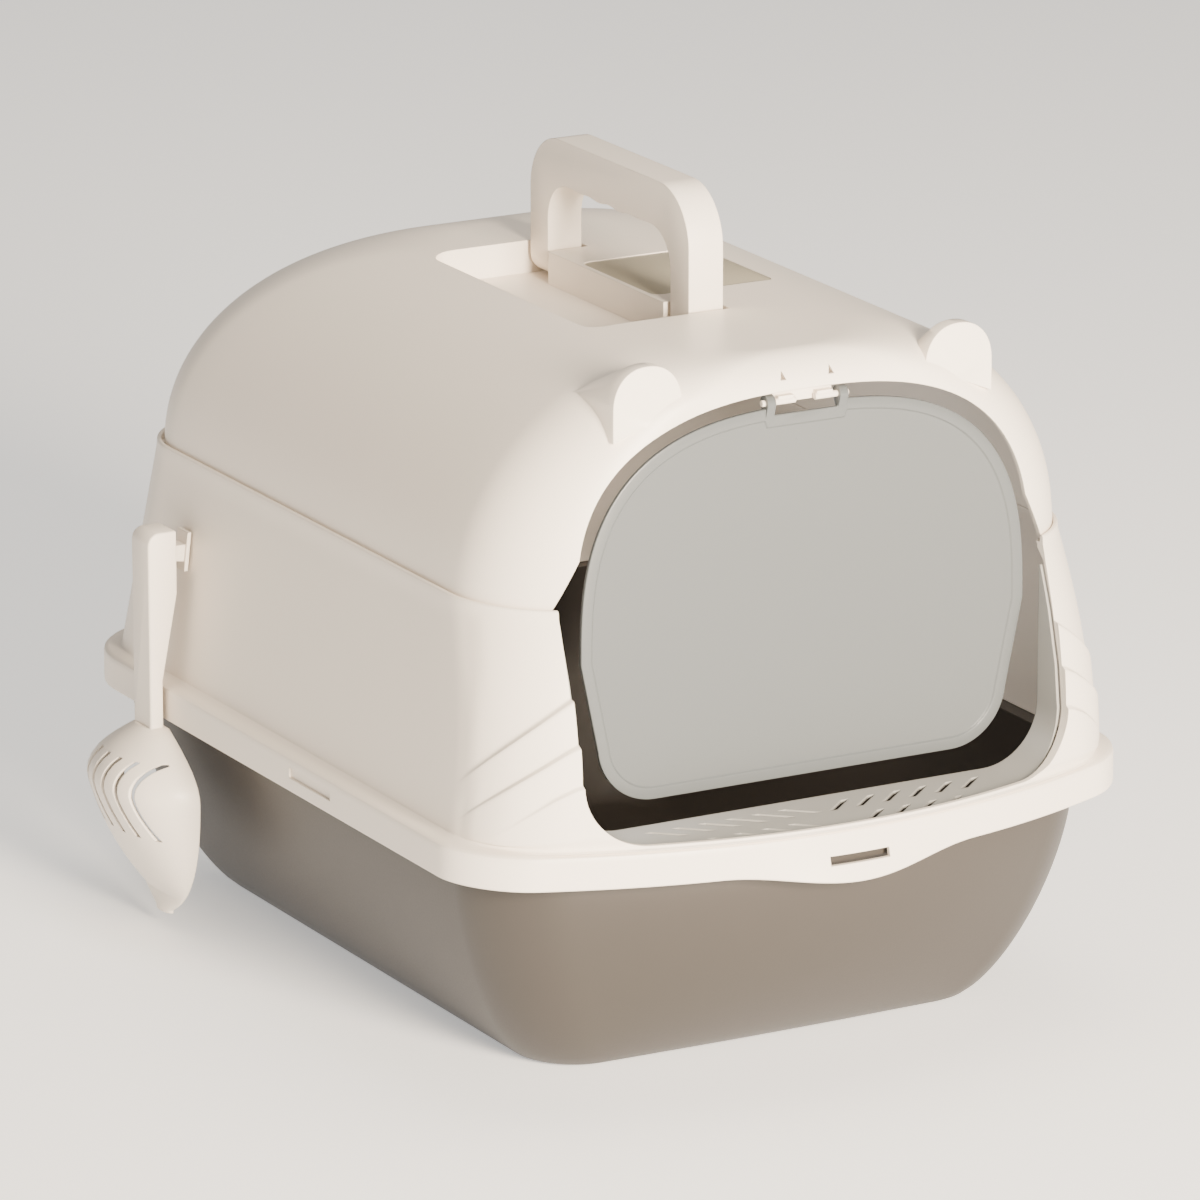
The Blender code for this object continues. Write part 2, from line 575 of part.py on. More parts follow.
def make_cover():
    """Top cover: dome shell, ears, handle well, hatch ledge and half of the rear hinge."""
    turns = [90.0 * (k / ROOF_STEPS) ** 0.9 for k in range(ROOF_STEPS + 1)]
    outer = [cover_ring(t) for t in turns]
    inner = [cover_ring(t, WALL) for t in reversed(turns)]
    inner[-1] = [(x, y, SEAM_Z + TOUCH) for x, y, z in inner[-1]]
    cover = add_object("top_cover", loft(inner + outer), "cream")
    well = prism(recess_outline(WELL_T), ROOF_Z - RECESS_DEPTH - WELL_T, ROOF_Z - 0.0022)
    shelf = box(HATCH_X0 - 0.0020, HATCH_Y0 - 0.0020, ROOF_Z - HATCH_DEPTH - 0.0020,
                HATCH_X1 + 0.0020, HATCH_Y1 + 0.0020, ROOF_Z - 0.0022)
    for name, bm in (("well_block", well), ("hatch_block", shelf), ("ear_left", ear(-1)),
                     ("ear_right", ear(1))):
        boolean(cover, add_cutter(name, bm), "UNION")
    for side in (-1, 1):
        lug = knuckle(side * LID_KNUCKLE_X, LID_KNUCKLE_W - 2 * TOUCH, SEAM_REAR - LIP_T - 0.0016,
                      SEAM_Z + LIP_HEIGHT + TOUCH, SEAM_REAR + SLIP)[0]
        boolean(cover, add_cutter(f"cover_knuckle_{side}", lug), "UNION")
    cuts = (
        ("cut_recess", prism(recess_outline(), ROOF_Z - RECESS_DEPTH, ROOF_Z + 0.02)),
        ("cut_hatch", prism(rounded_rect(HATCH_X0, HATCH_Y0, HATCH_X1, HATCH_Y1, 0.006),
                            ROOF_Z - HATCH_DEPTH, ROOF_Z + 0.02)),
        ("cut_filter", prism(rounded_rect(HATCH_X0 + HATCH_LEDGE, HATCH_Y0 + HATCH_LEDGE,
                                          HATCH_X1 - HATCH_LEDGE, HATCH_Y1 - HATCH_LEDGE,
                                          0.004), ROOF_Z - 0.03, ROOF_Z + 0.01)),
        ("cut_entry_high", prism(entry_outline(), -0.34, -0.19, "Y")),
        ("cut_pin_holes", joined(
            rod("Y", (0.0, HANDLE_PIVOT_Z), PIN_R + PIN_RUN, HANDLE_Y0 - 0.010, HANDLE_Y0),
            rod("Y", (0.0, HANDLE_PIVOT_Z), PIN_R + PIN_RUN, HANDLE_Y1, HANDLE_Y1 + 0.010))),
        ("cut_lid_bores", pin_bores()),
        ("cut_notches", joined(*[
            prism([(s * NOTCH_X - NOTCH_HALF_W, ENTRY_TOP + NOTCH_H + 0.0010),
                   (s * NOTCH_X + NOTCH_HALF_W, ENTRY_TOP + NOTCH_H + 0.0010),
                   (s * NOTCH_X, ENTRY_TOP + 2 * NOTCH_H + 0.0010)],
                  -FACE_FRONT - 0.015, -FACE_FRONT + 0.010, "Y") for s in (-1, 1)])),
    )
    for name, bm in cuts:
        boolean(cover, add_cutter(name, bm), "DIFFERENCE")
    return cover


# ---- handle -------------------------------------------------------------------------------
def make_handle():
    """Carry handle: a flat strap bent into a U, pinned at both feet."""
    y0, y1, top = HANDLE_Y0, HANDLE_Y1, HANDLE_TOP
    foot = HANDLE_PIVOT_Z
    pairs = [(y1, foot)]
    for cy, start in ((y1 - HANDLE_R_OUT, 0), (y0 + HANDLE_R_OUT, 90)):
        for k in range(9):
            a = math.radians(start + 90.0 * k / 8)
            pairs.append((cy + HANDLE_R_OUT * math.cos(a),
                          top - HANDLE_R_OUT + HANDLE_R_OUT * math.sin(a)))
    pairs.append((y0, foot))
    inside0, inside1 = y0 + HANDLE_LEG, y1 - HANDLE_LEG
    pairs.append((inside0, foot))
    under = top - HANDLE_GRIP
    for cy, start, sign in ((inside0 + HANDLE_R_IN, 180, -1), (inside1 - HANDLE_R_IN, 90, -1)):
        for k in range(7):
            a = math.radians(start + sign * 90.0 * k / 6)
            pairs.append((cy + HANDLE_R_IN * math.cos(a),
                          under - HANDLE_R_IN + HANDLE_R_IN * math.sin(a)))
    pairs.append((inside1, foot))
    pivot = (0.0, (y0 + y1) / 2, HANDLE_PIVOT_Z)
    handle = add_object("carry_handle", prism(pairs, -HANDLE_W / 2, HANDLE_W / 2, "X"), "cream",
                        pivot)
    for name, a, b in (("foot_front", y0, inside0), ("foot_rear", inside1, y1)):
        boolean(handle, add_cutter(name, rod("Y", (0.0, HANDLE_PIVOT_Z), HANDLE_W / 2, a, b, 20)),
                "UNION")
    bores = joined(rod("Y", (0.0, HANDLE_PIVOT_Z), PIN_R + PIN_RUN, y0 - 0.002, inside0 + 0.002),
                   rod("Y", (0.0, HANDLE_PIVOT_Z), PIN_R + PIN_RUN, inside1 - 0.002, y1 + 0.002))
    boolean(handle, add_cutter("cut_handle_bores", bores), "DIFFERENCE")
    wall = RECESS_GAP + 0.0025 + WELL_T
    for name, a, b in (("handle_pin_front", y0 - wall, inside0 - 0.001),
                       ("handle_pin_rear", inside1 + 0.001, y1 + wall)):
        add_object(name, rod("Y", (0.0, HANDLE_PIVOT_Z), PIN_R, a, b), "cream",
                   (0.0, (a + b) / 2, HANDLE_PIVOT_Z))


# ---- filter hatch -------------------------------------------------------------------------
def make_filter():
    """Hatch cover, basket hung under it and the charcoal pad in the basket."""
    x0, y0, x1, y1 = HATCH_X0, HATCH_Y0, HATCH_X1, HATCH_Y1
    gap = SLIP / 2
    top = ROOF_Z - 0.0004
    plate = prism(rounded_rect(x0 + gap, y0 + gap, x1 - gap, y1 - gap, 0.0056), top - HATCH_T, top)
    add_object("filter_cover", plate, "tan", ((x0 + x1) / 2, (y0 + y1) / 2, top))
    ledge = ROOF_Z - HATCH_DEPTH + TOUCH
    inset = HATCH_LEDGE + SLIP

    def ring(inset_by, z, radius):
        pairs = rounded_rect(x0 + inset_by, y0 + inset_by, x1 - inset_by, y1 - inset_by, radius)
        return [(x, y, z) for x, y in pairs]

    floor = ledge - BASKET_DEPTH
    rings = [ring(inset + BASKET_T, floor + BASKET_T, 0.002),
             ring(inset + BASKET_T, ledge + BASKET_T, 0.002), ring(gap, ledge + BASKET_T, 0.0056),
             ring(gap, ledge, 0.0056), ring(inset, ledge, 0.003), ring(inset, floor, 0.003)]
    basket = add_object("filter_basket", loft(rings), "cream")
    vents = []
    span = (y1 - y0) - 2 * inset - 0.014
    for k in range(VENTS):
        y = y0 + inset + 0.007 + span * (k + 0.5) / VENTS
        vents.append(box(x0 + inset + 0.008, y - VENT_W / 2, floor - 0.002,
                         x1 - inset - 0.008, y + VENT_W / 2, floor + 0.004))
    boolean(basket, add_cutter("cut_vents", joined(*vents)), "DIFFERENCE")
    pad_in = inset + BASKET_T + SLIP
    low = floor + BASKET_T + TOUCH
    pad = prism(rounded_rect(x0 + pad_in, y0 + pad_in, x1 - pad_in, y1 - pad_in, 0.002), low,
                low + PAD_T)
    add_object("charcoal_filter", pad, "carbon")


# ---- entry flap ---------------------------------------------------------------------------
def door_outline():
    """Flap outline in front view: round low corners, sides drawn in to a flat arch."""
    foot = DOOR_HALF_W - 0.010 - DOOR_R_LOW
    relief, depth = DOOR_RELIEF
    pairs = []
    for k in range(6):
        a = math.radians(270 + 84.0 * k / 5)
        pairs.append((foot + DOOR_R_LOW * math.cos(a),
                      DOOR_BOTTOM + DOOR_R_LOW + DOOR_R_LOW * math.sin(a)))
    crown = arch(DOOR_HALF_W, DOOR_SHOULDER_Z, DOOR_TOP, DOOR_ARCH, 12)
    pairs += [p for p in crown if p[0] > relief + 0.006]
    pairs += [(relief + 0.0015, DOOR_TOP), (relief, DOOR_TOP - depth), (0.0, DOOR_TOP - depth)]
    return mirrored(pairs)


def make_door():
    """Entry flap with two lugs that hang on the hinge bracket's pins."""
    pivot = (0.0, DOOR_AXIS_Y, DOOR_AXIS_Z)
    door = add_object("door_flap", prism(door_outline(), DOOR_Y, DOOR_Y + DOOR_T, "Y"), "smoke",
                      pivot)
    for i, s in enumerate((-1, 1)):
        pairs = []
        for k in range(11):
            a = math.radians(-20 + 220.0 * k / 10)
            pairs.append((DOOR_AXIS_Y + DOOR_LUG_R * math.cos(a),
                          DOOR_AXIS_Z + DOOR_LUG_R * math.sin(a)))
        pairs += [(DOOR_Y + 0.0002, DOOR_TOP - 0.006), (DOOR_Y + DOOR_T - 0.0002, DOOR_TOP - 0.006)]
        lug = prism(pairs, s * DOOR_LUG_X - DOOR_LUG_W / 2, s * DOOR_LUG_X + DOOR_LUG_W / 2, "X")
        boolean(door, add_cutter(f"door_lug_{i}", lug), "UNION")
    bore = rod("X", (DOOR_AXIS_Y, DOOR_AXIS_Z), DOOR_PIN_R + PIN_RUN, -0.04, 0.04)
    boolean(door, add_cutter("cut_door_bore", bore), "DIFFERENCE")


def make_bracket():
    """Hinge bracket clipped behind the cover's brow, with two pins for the flap."""
    back = -FACE_FRONT + WALL + 0.0012
    plate = box(-BRACKET_HALF_W, back, DOOR_AXIS_Z - 0.0015, BRACKET_HALF_W, back + BRACKET_T,
                ENTRY_TOP + 0.0090)
    bracket = add_object("door_hinge_bracket", plate, "cream")
    for i, s in enumerate((-1, 1)):
        x0, x1 = sorted(s * x for x in BRACKET_ARM_X)
        arm = box(x0, DOOR_AXIS_Y - 0.0012, DOOR_AXIS_Z - 0.0010, x1, back + BRACKET_T / 2,
                  DOOR_AXIS_Z + 0.0030)
        a, b = sorted((s * DOOR_PIN_INNER, s * DOOR_PIN_OUTER))
        pin = rod("X", (DOOR_AXIS_Y, DOOR_AXIS_Z), DOOR_PIN_R, a, b)
        boolean(bracket, add_cutter(f"bracket_arm_{i}", arm), "UNION")
        boolean(bracket, add_cutter(f"bracket_pin_{i}", pin), "UNION")


# ---- entry step ---------------------------------------------------------------------------
def step_outline(inset):
    """U of the entry step in front view, a little wider and lower than the opening."""
    half, low = ENTRY_HALF_W + TOUCH - inset, STEP_FLOOR_Z - STEP_T + inset
    r = ENTRY_R + 0.002 - inset
    pairs = []
    for cx, start in ((-half + r, 180), (half - r, 270)):
        for k in range(6):
            a = math.radians(start + 90.0 * k / 5)
            pairs.append((cx + r * math.cos(a), low + r + r * math.sin(a)))
    top = STEP_CHEEK_TOP + 4 * inset
    return pairs + [(half, top), (-half, top)]


def make_step():
    """Slotted entry step: a floor with a cheek up each side of the opening."""
    step = add_object("step_grille", prism(step_outline(0.0), -0.32, STEP_Y_REAR, "Y"),
                      "pale_grey")
    hull = loft([frame_ring(z, WALL + STEP_CLEAR) for z in (LEDGE_TOP - WALL,) + WALL_LEVELS])
    bmesh.ops.triangulate(hull, faces=hull.faces)
    boolean(step, add_cutter("trim_step_front", hull), "INTERSECT")
    inside = prism(step_outline(STEP_T), -0.34, -0.19, "Y")
    boolean(step, add_cutter("cut_step_inside", inside), "DIFFERENCE")
    slots = []
    dx, dy = SLOT_RUN[0] / 2, SLOT_RUN[1] / 2
    for row, y in enumerate(SLOT_ROW_Y):
        for k in range(SLOT_COLUMNS - row):
            x = SLOT_FIRST_X + SLOT_PITCH * (k + 0.5 * row)
            edge = FOOT_FRONT + FOOT_BOW * (1 - ((x + dx) / FOOT_HALF_W) ** 2) - WALL - STEP_CLEAR
            share = min(1.0, (edge - SLOT_RIM + y) / dy)
            if share < SLOT_LEAST:
                continue
            x0, y0 = x - dx * share, y - dy * share
            for s in (-1, 1):
                pairs = [(s * (x0 - SLOT_W / 2), y0), (s * (x0 + SLOT_W / 2), y0),
                         (s * (x + dx + SLOT_W / 2), y + dy), (s * (x + dx - SLOT_W / 2), y + dy)]
                slots.append(prism(pairs, STEP_FLOOR_Z - 2 * STEP_T, STEP_FLOOR_Z + STEP_T))
    boolean(step, add_cutter("cut_step_slots", joined(*slots)), "DIFFERENCE")


# ---- scoop --------------------------------------------------------------------------------
def scoop_section(z, offset):
    """Half width, depth and mouth plane of the scoop's pan at a height."""
    t = (SCOOP_NECK_Z - z) / (SCOOP_NECK_Z - SCOOP_TIP_Z)
    swell = math.sin(0.5 * math.pi * min(1.0, 0.18 + t * 2.6))
    half = max(SCOOP_HALF_W * swell * max(0.0, 1 - t ** 3.2) ** 0.62, 0.009) - offset
    below = SCOOP_NECK_Z - z
    deep = SCOOP_PAN_DEEP * swell * max(0.0, 1 - t ** 2.1) ** 0.80 - SCOOP_TAPER * below
    mouth = SCOOP_OUT_X + SCOOP_NECK_DEEP + 0.0015 + SCOOP_LEAN * below
    return half, max(deep, 0.004) - offset, mouth


def pan_ring(z, offset=0.0):
    """Closed U-shaped section of the pan, its open side towards the tray."""
    half, deep, mouth = scoop_section(z, offset)
    ring = []
    for k in range(13):
        a = math.pi * k / 12
        ring.append((mouth - deep * math.sin(a) ** 0.8, SCOOP_Y - half * math.cos(a), z))
    return ring


def make_scoop():
    """Scoop: a channel handle and a slotted pan, hung tip down on its hook."""
    pan_levels = [SCOOP_TIP_Z + (SCOOP_NECK_Z - SCOOP_TIP_Z) * k / 9 for k in range(10)]
    pan = add_cutter("scoop_pan", loft([pan_ring(z) for z in pan_levels]))
    hollow = loft([[(x + (0.02 if abs(x - scoop_section(z, SCOOP_T)[2]) < 1e-6 else 0.0), y, zz)
                    for x, y, zz in pan_ring(z, SCOOP_T)]
                   for z in [SCOOP_TIP_Z - 0.01] + pan_levels[:-1] + [SCOOP_NECK_Z - SCOOP_T]])
    boolean(pan, add_cutter("scoop_hollow", hollow), "DIFFERENCE")
    slots = []
    for k in range(SCOOP_SLOTS):
        y = SCOOP_Y + (k - (SCOOP_SLOTS - 1) / 2) * SCOOP_SLOT_PITCH
        slots.append(box(SCOOP_OUT_X - 0.06, y - SCOOP_SLOT_W / 2, SCOOP_SLOT_Z[0],
                         SCOOP_OUT_X - 0.001, y + SCOOP_SLOT_W / 2, SCOOP_SLOT_Z[1]))
    boolean(pan, add_cutter("scoop_slots", joined(*slots)), "DIFFERENCE")
    half = SCOOP_HANDLE_W / 2
    low = SCOOP_NECK_Z - 0.012

    def side_profile(grow, top):
        out = SCOOP_OUT_X + grow
        pairs = [(out, low), (out, top - 0.008), (out + 0.002, top - 0.002), (out + 0.006, top)]
        return pairs, [(SCOOP_OUT_X + SCOOP_HANDLE_DEEP, top),
                       (SCOOP_OUT_X + SCOOP_HANDLE_DEEP, top - 0.036),
                       (SCOOP_OUT_X + SCOOP_NECK_DEEP, LEDGE_TOP + 0.004),
                       (SCOOP_OUT_X + SCOOP_NECK_DEEP, low)]

    pairs, back = side_profile(0.0, SCOOP_TOP)
    scoop = add_object("scoop", prism(pairs + back, SCOOP_Y - half, SCOOP_Y + half, "Y"), "cream")
    pairs, back = side_profile(SCOOP_T, SCOOP_TOP - SCOOP_T)
    back = [(x + 0.02, z) for x, z in back]
    pairs[0] = (pairs[0][0], SCOOP_NECK_Z + SCOOP_T)
    back[-1] = (back[-1][0], SCOOP_NECK_Z + SCOOP_T)
    cavity = prism(pairs + back, SCOOP_Y - half + SCOOP_T, SCOOP_Y + half - SCOOP_T, "Y")
    boolean(scoop, add_cutter("cut_channel", cavity), "DIFFERENCE")
    back_x = SCOOP_OUT_X + SCOOP_HANDLE_DEEP
    lip = box(back_x - SCOOP_T, SCOOP_Y - half + SCOOP_T / 2, SCOOP_TOP - SCOOP_T - SCOOP_LIP,
              back_x - 0.0002, SCOOP_Y + half - SCOOP_T / 2, SCOOP_TOP - SCOOP_T / 2)
    boolean(scoop, add_cutter("scoop_lip", lip), "UNION")
    boolean(scoop, pan, "UNION")


def make_hook():
    """Hook on the left wall: a plate, an arm into the scoop's handle and an upturned end."""
    wide, tall, thick = HOOK_PLATE
    centre_z = SCOOP_TOP - SCOOP_T - TOUCH - 0.012
    slope = (FOOT_HALF_W - SEAM_HALF_W) / (SEAM_Z - FOOT_Z)
    face = -(frame_half_w(centre_z) + TOUCH * 1.2)
    pairs = []
    for dx, dz in ((0, -tall / 2), (0, tall / 2), (-thick, tall / 2), (-thick, -tall / 2)):
        pairs.append((face + dx + slope * dz, centre_z + dz))
    hook = add_object("scoop_hook", prism(pairs, SCOOP_Y - wide / 2, SCOOP_Y + wide / 2, "Y"),
                      "cream")
    top = SCOOP_TOP - SCOOP_T - TOUCH
    tip = SCOOP_OUT_X + SCOOP_T + SLIP + 0.002
    arm = [(face - 0.001, centre_z - 0.006), (face - 0.001, centre_z + 0.004),
           (tip + HOOK_T, centre_z + 0.004), (tip + HOOK_T, top), (tip + 0.0034, top),
           (tip, top - 0.0036), (tip, centre_z + 0.001), (tip + 0.004, centre_z - 0.003)]
    boolean(hook, add_cutter("hook_arm", prism(arm, SCOOP_Y - HOOK_W / 2, SCOOP_Y + HOOK_W / 2,
                                               "Y")), "UNION")


def main():
    for obj in list(bpy.data.objects):
        bpy.data.objects.remove(obj)
    make_tray()
    make_frame()
    make_cover()
    make_lid_pins()
    make_handle()
    make_filter()
    make_door()
    make_bracket()
    make_step()
    make_scoop()
    make_hook()


main()
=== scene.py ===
"""Hooded cat litter box: the moulded shells, flap, step, handle, hatch and scoop, finished for show.

Metres, +Z up. The origin is the centre of the tray's flat base, the entry faces -Y.
"""
import math

import bmesh
import bpy
from bpy.props import FloatProperty, IntProperty, PointerProperty, StringProperty
from mathutils import Matrix, Vector


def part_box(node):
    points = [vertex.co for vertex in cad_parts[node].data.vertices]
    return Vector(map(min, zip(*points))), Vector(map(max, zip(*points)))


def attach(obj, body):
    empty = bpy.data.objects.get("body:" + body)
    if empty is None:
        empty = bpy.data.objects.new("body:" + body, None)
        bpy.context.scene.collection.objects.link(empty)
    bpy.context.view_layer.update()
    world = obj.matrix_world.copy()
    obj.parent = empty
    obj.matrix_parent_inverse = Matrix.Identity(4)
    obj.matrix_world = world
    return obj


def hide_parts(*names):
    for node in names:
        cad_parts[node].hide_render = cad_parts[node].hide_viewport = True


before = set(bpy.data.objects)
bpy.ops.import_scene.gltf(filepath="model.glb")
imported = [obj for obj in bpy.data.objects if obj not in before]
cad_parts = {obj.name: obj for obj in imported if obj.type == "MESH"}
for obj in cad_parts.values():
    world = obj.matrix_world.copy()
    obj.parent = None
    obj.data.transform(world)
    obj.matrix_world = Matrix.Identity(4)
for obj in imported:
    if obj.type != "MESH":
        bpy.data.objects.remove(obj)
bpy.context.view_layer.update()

bl_info = {
    "name": "Hooded Litter Box",
    "version": (1, 0, 0),
    "blender": (4, 5, 0),
    "location": "3D View > Sidebar > Litter Box",
    "description": "Builds the finished pieces of a hooded cat litter box on its engineering frame",
    "category": "Object",
}

TOUCH = 0.0003                      # clearance between cover and frame at the seam
SEAM_Z = 0.2628                     # where the cover sits on the hood frame
FOOT_Z = 0.1440                     # foot of the frame's wall
LEDGE_TOP = 0.1415                  # top of the ledge round the skirt
ROOF_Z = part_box("filter_cover")[1].z + 0.0004
CORNER, FRONT, SIDE = 16, 90, 14    # steps of an outline's corners, front and sides
ENTRY_CUT = (-0.34, -0.19)          # reach in y of the tools that open the entry
HINGE_X, HINGE_YZ = 0.09, (0.2225, 0.2690)    # rear hinges, and their axis
HINGE_BORE, HINGE_REACH = 0.0021, 0.0165      # radius and half length of their bores
HANDLE_Y, HANDLE_AXIS_Z, HANDLE_BORE = (-0.1240, 0.0530), 0.3810, 0.0023
FLAP_AXIS = (-0.2290, 0.3625)       # y and z of the flap's pins


# ---- sizes and colours --------------------------------------------------------------------
class BoxSizes(bpy.types.PropertyGroup):
    """Sizes that a maker would change."""

    wall: FloatProperty(name="Wall", description="Moulded wall of hood and cover",
                        default=0.0026, unit="LENGTH")
    lip_round: FloatProperty(name="Lip rounding", description="Rounding of the frame's top lip",
                             default=0.0014, unit="LENGTH")
    whisker_step: FloatProperty(name="Whisker step", description="Depth of the first whisker step",
                                default=0.0036, unit="LENGTH")
    panel_recess: FloatProperty(name="Side panel recess", description="Depth of the side panels",
                                default=0.0010, unit="LENGTH")
    flap_bead: FloatProperty(name="Flap bead", description="Width of the bead round the flap",
                             default=0.0060, unit="LENGTH")
    handle_round: FloatProperty(name="Handle rounding", description="Rounding of the handle",
                                default=0.0018, unit="LENGTH")
    finger_wave: FloatProperty(name="Finger waves", description="Depth of the waves under the grip",
                               default=0.0012, unit="LENGTH")
    scoop_slots: IntProperty(name="Scoop slots", description="Slots through the scoop's pan",
                             default=6, min=3, max=9)
    edge: FloatProperty(name="Edge softness", description="Radius of moulded edges",
                        default=0.0009, unit="LENGTH")


class BoxColours(bpy.types.PropertyGroup):
    """Colours of the plastics, as sRGB hex; the flap's grey also holds painted shade of the cabin
    behind it.
    """

    cream: StringProperty(name="Cream", description="Hood, cover, handle, scoop", default="#F1E7DA")
    taupe: StringProperty(name="Taupe", description="Tray", default="#3E3934")
    grey: StringProperty(name="Grey", description="Entry step", default="#A09F9A")
    # the flap's grey is its smoke tint with painted shade of the dark cabin seen through it
    smoke: StringProperty(name="Smoke", description="Entry flap", default="#5E6263")
    # the hatch is coloured a tan darker than the cream cover
    tan: StringProperty(name="Tan", description="Filter hatch", default="#A9A18C")
    carbon: StringProperty(name="Carbon", description="Charcoal pad", default="#2A2A2B")
    floor: StringProperty(name="Floor", description="Studio floor", default="#FCFBF9")


def sizes():
    return bpy.context.scene.litter_box_sizes


def colours():
    return bpy.context.scene.litter_box_colours


# ---- materials ----------------------------------------------------------------------------
def linear(hex_code):
    """An sRGB hex colour as the linear colour that shaders use."""
    out = []
    for k in (1, 3, 5):
        c = int(hex_code[k:k + 2], 16) / 255.0
        out.append(c / 12.92 if c <= 0.04045 else ((c + 0.055) / 1.055) ** 2.4)
    return (*out, 1.0)


def shaded(hex_code, share):
    """The same colour, lighter or darker by a share of itself."""
    r, g, b, a = linear(hex_code)
    return (min(1.0, r * share), min(1.0, g * share), min(1.0, b * share), a)


def add_node(tree, kind, settings=None, links=None):
    """A node with its settings and sockets; links maps an input to another node's output."""
    made = tree.nodes.new(kind)
    for key, value in (settings or {}).items():
        if key in made.inputs:
            made.inputs[key].default_value = value
        else:
            setattr(made, key, value)
    for key, source in (links or {}).items():
        tree.links.new(source, made.inputs[key])
    return made


def start_material(name):
    """An empty material with its output, its tree and its object coordinates."""
    mat = bpy.data.materials.new(name)
    mat.use_nodes = True
    tree = mat.node_tree
    tree.nodes.clear()
    place = add_node(tree, "ShaderNodeTexCoord").outputs["Object"]
    return mat, tree, place


def moulded_plastic(name, colour, grain, depth, roughness, spread, extra=None):
    """Injection-moulded polypropylene: waxy satin, a spark-eroded grain that breaks up the
    highlight, faint flow clouds in the colour, edges as soft as the mould's own."""
    mat, tree, place = start_material(name)
    cloud = add_node(tree, "ShaderNodeTexNoise", {"Scale": 1 / 0.060, "Detail": 3.0},
                     {"Vector": place})
    tint = add_node(tree, "ShaderNodeMix", {"data_type": "RGBA"})
    tint.inputs[6].default_value = shaded(colour, 1 - spread)
    tint.inputs[7].default_value = shaded(colour, 1 + spread)
    tree.links.new(cloud.outputs["Fac"], tint.inputs[0])
    speck = add_node(tree, "ShaderNodeTexNoise", {"Scale": 1 / grain, "Detail": 2.0},
                     {"Vector": place})
    gloss = add_node(tree, "ShaderNodeMapRange", {"To Min": roughness - 0.05,
                                                  "To Max": roughness + 0.05},
                     {"Value": speck.outputs["Fac"]})
    soft = add_node(tree, "ShaderNodeBevel", {"samples": 4, "Radius": sizes().edge})
    bump = add_node(tree, "ShaderNodeBump", {"Strength": 0.35, "Distance": depth},
                    {"Height": speck.outputs["Fac"], "Normal": soft.outputs["Normal"]})
    shader = add_node(tree, "ShaderNodeBsdfPrincipled", {"IOR": 1.49, "Metallic": 0.0},
                      {"Base Color": tint.outputs[2], "Roughness": gloss.outputs["Result"],
                       "Normal": bump.outputs["Normal"]})
    for key, value in (extra or {}).items():
        shader.inputs[key].default_value = value
    add_node(tree, "ShaderNodeOutputMaterial", None, {"Surface": shader.outputs["BSDF"]})
    return mat


def charcoal_foam(name, colour):
    """Open polyurethane foam soaked in charcoal: matt, with 2 mm cells that read as pits by a bump
    and by painted shade darkening each cell's middle.
    """
    mat, tree, place = start_material(name)
    cells = add_node(tree, "ShaderNodeTexVoronoi", {"Scale": 1 / 0.002}, {"Vector": place})
    # painted shade: the colour darkens towards each cell's middle, where the bump sinks into a pit
    tint = add_node(tree, "ShaderNodeMix", {"data_type": "RGBA"})
    tint.inputs[6].default_value = shaded(colour, 0.35)
    tint.inputs[7].default_value = shaded(colour, 1.3)
    tree.links.new(cells.outputs["Distance"], tint.inputs[0])
    bump = add_node(tree, "ShaderNodeBump", {"Strength": 0.8, "Distance": 0.0008},
                    {"Height": cells.outputs["Distance"]})
    shader = add_node(tree, "ShaderNodeBsdfPrincipled", {"Roughness": 0.95, "IOR": 1.45},
                      {"Base Color": tint.outputs[2], "Normal": bump.outputs["Normal"]})
    add_node(tree, "ShaderNodeOutputMaterial", None, {"Surface": shader.outputs["BSDF"]})
    return mat


def studio_paper(name, colour):
    """Seamless background paper: matt, with the faintest mottle."""
    mat, tree, place = start_material(name)
    mottle = add_node(tree, "ShaderNodeTexNoise", {"Scale": 3.0, "Detail": 2.0}, {"Vector": place})
    tint = add_node(tree, "ShaderNodeMix", {"data_type": "RGBA"})
    tint.inputs[6].default_value = shaded(colour, 0.99)
    tint.inputs[7].default_value = shaded(colour, 1.0)
    tree.links.new(mottle.outputs["Fac"], tint.inputs[0])
    shader = add_node(tree, "ShaderNodeBsdfPrincipled",
                      {"Roughness": 0.9, "IOR": 1.3, "Emission Strength": 0.50},
                      {"Base Color": tint.outputs[2]})
    shader.inputs["Emission Color"].default_value = linear(colour)
    add_node(tree, "ShaderNodeOutputMaterial", None, {"Surface": shader.outputs["BSDF"]})
    return mat


def finish_named(name):
    """The material of that name, made once."""
    if name in bpy.data.materials:
        return bpy.data.materials[name]
    c = colours()
    if name == "cream_moulded_polypropylene":
        return moulded_plastic(name, c.cream, 0.0008, 0.00006, 0.40, 0.012)
    if name == "taupe_moulded_polypropylene":
        return moulded_plastic(name, c.taupe, 0.0010, 0.00008, 0.44, 0.020)
    if name == "grey_moulded_polypropylene":
        return moulded_plastic(name, c.grey, 0.0009, 0.00006, 0.42, 0.015)
    if name == "tan_moulded_polypropylene":
        return moulded_plastic(name, c.tan, 0.0009, 0.00006, 0.42, 0.015)
    if name == "smoked_sheet_with_painted_cabin_shade":
        # an opaque grey that stands in for thin frosted sheet: its own smoke tint together with
        # painted shade of the dark cabin behind it
        return moulded_plastic(name, c.smoke, 0.0012, 0.00004, 0.30, 0.010,
                               {"Coat Weight": 0.15, "Coat Roughness": 0.2})
    if name == "charcoal_foam":
        return charcoal_foam(name, c.carbon)
    raise RuntimeError(f"no finish is called {name}")


# ---- modelling ----------------------------------------------------------------------------
def only(piece):
    """Make one piece the sole selected and active one."""
    bpy.ops.object.select_all(action="DESELECT")
    piece.select_set(True)
    bpy.context.view_layer.objects.active = piece


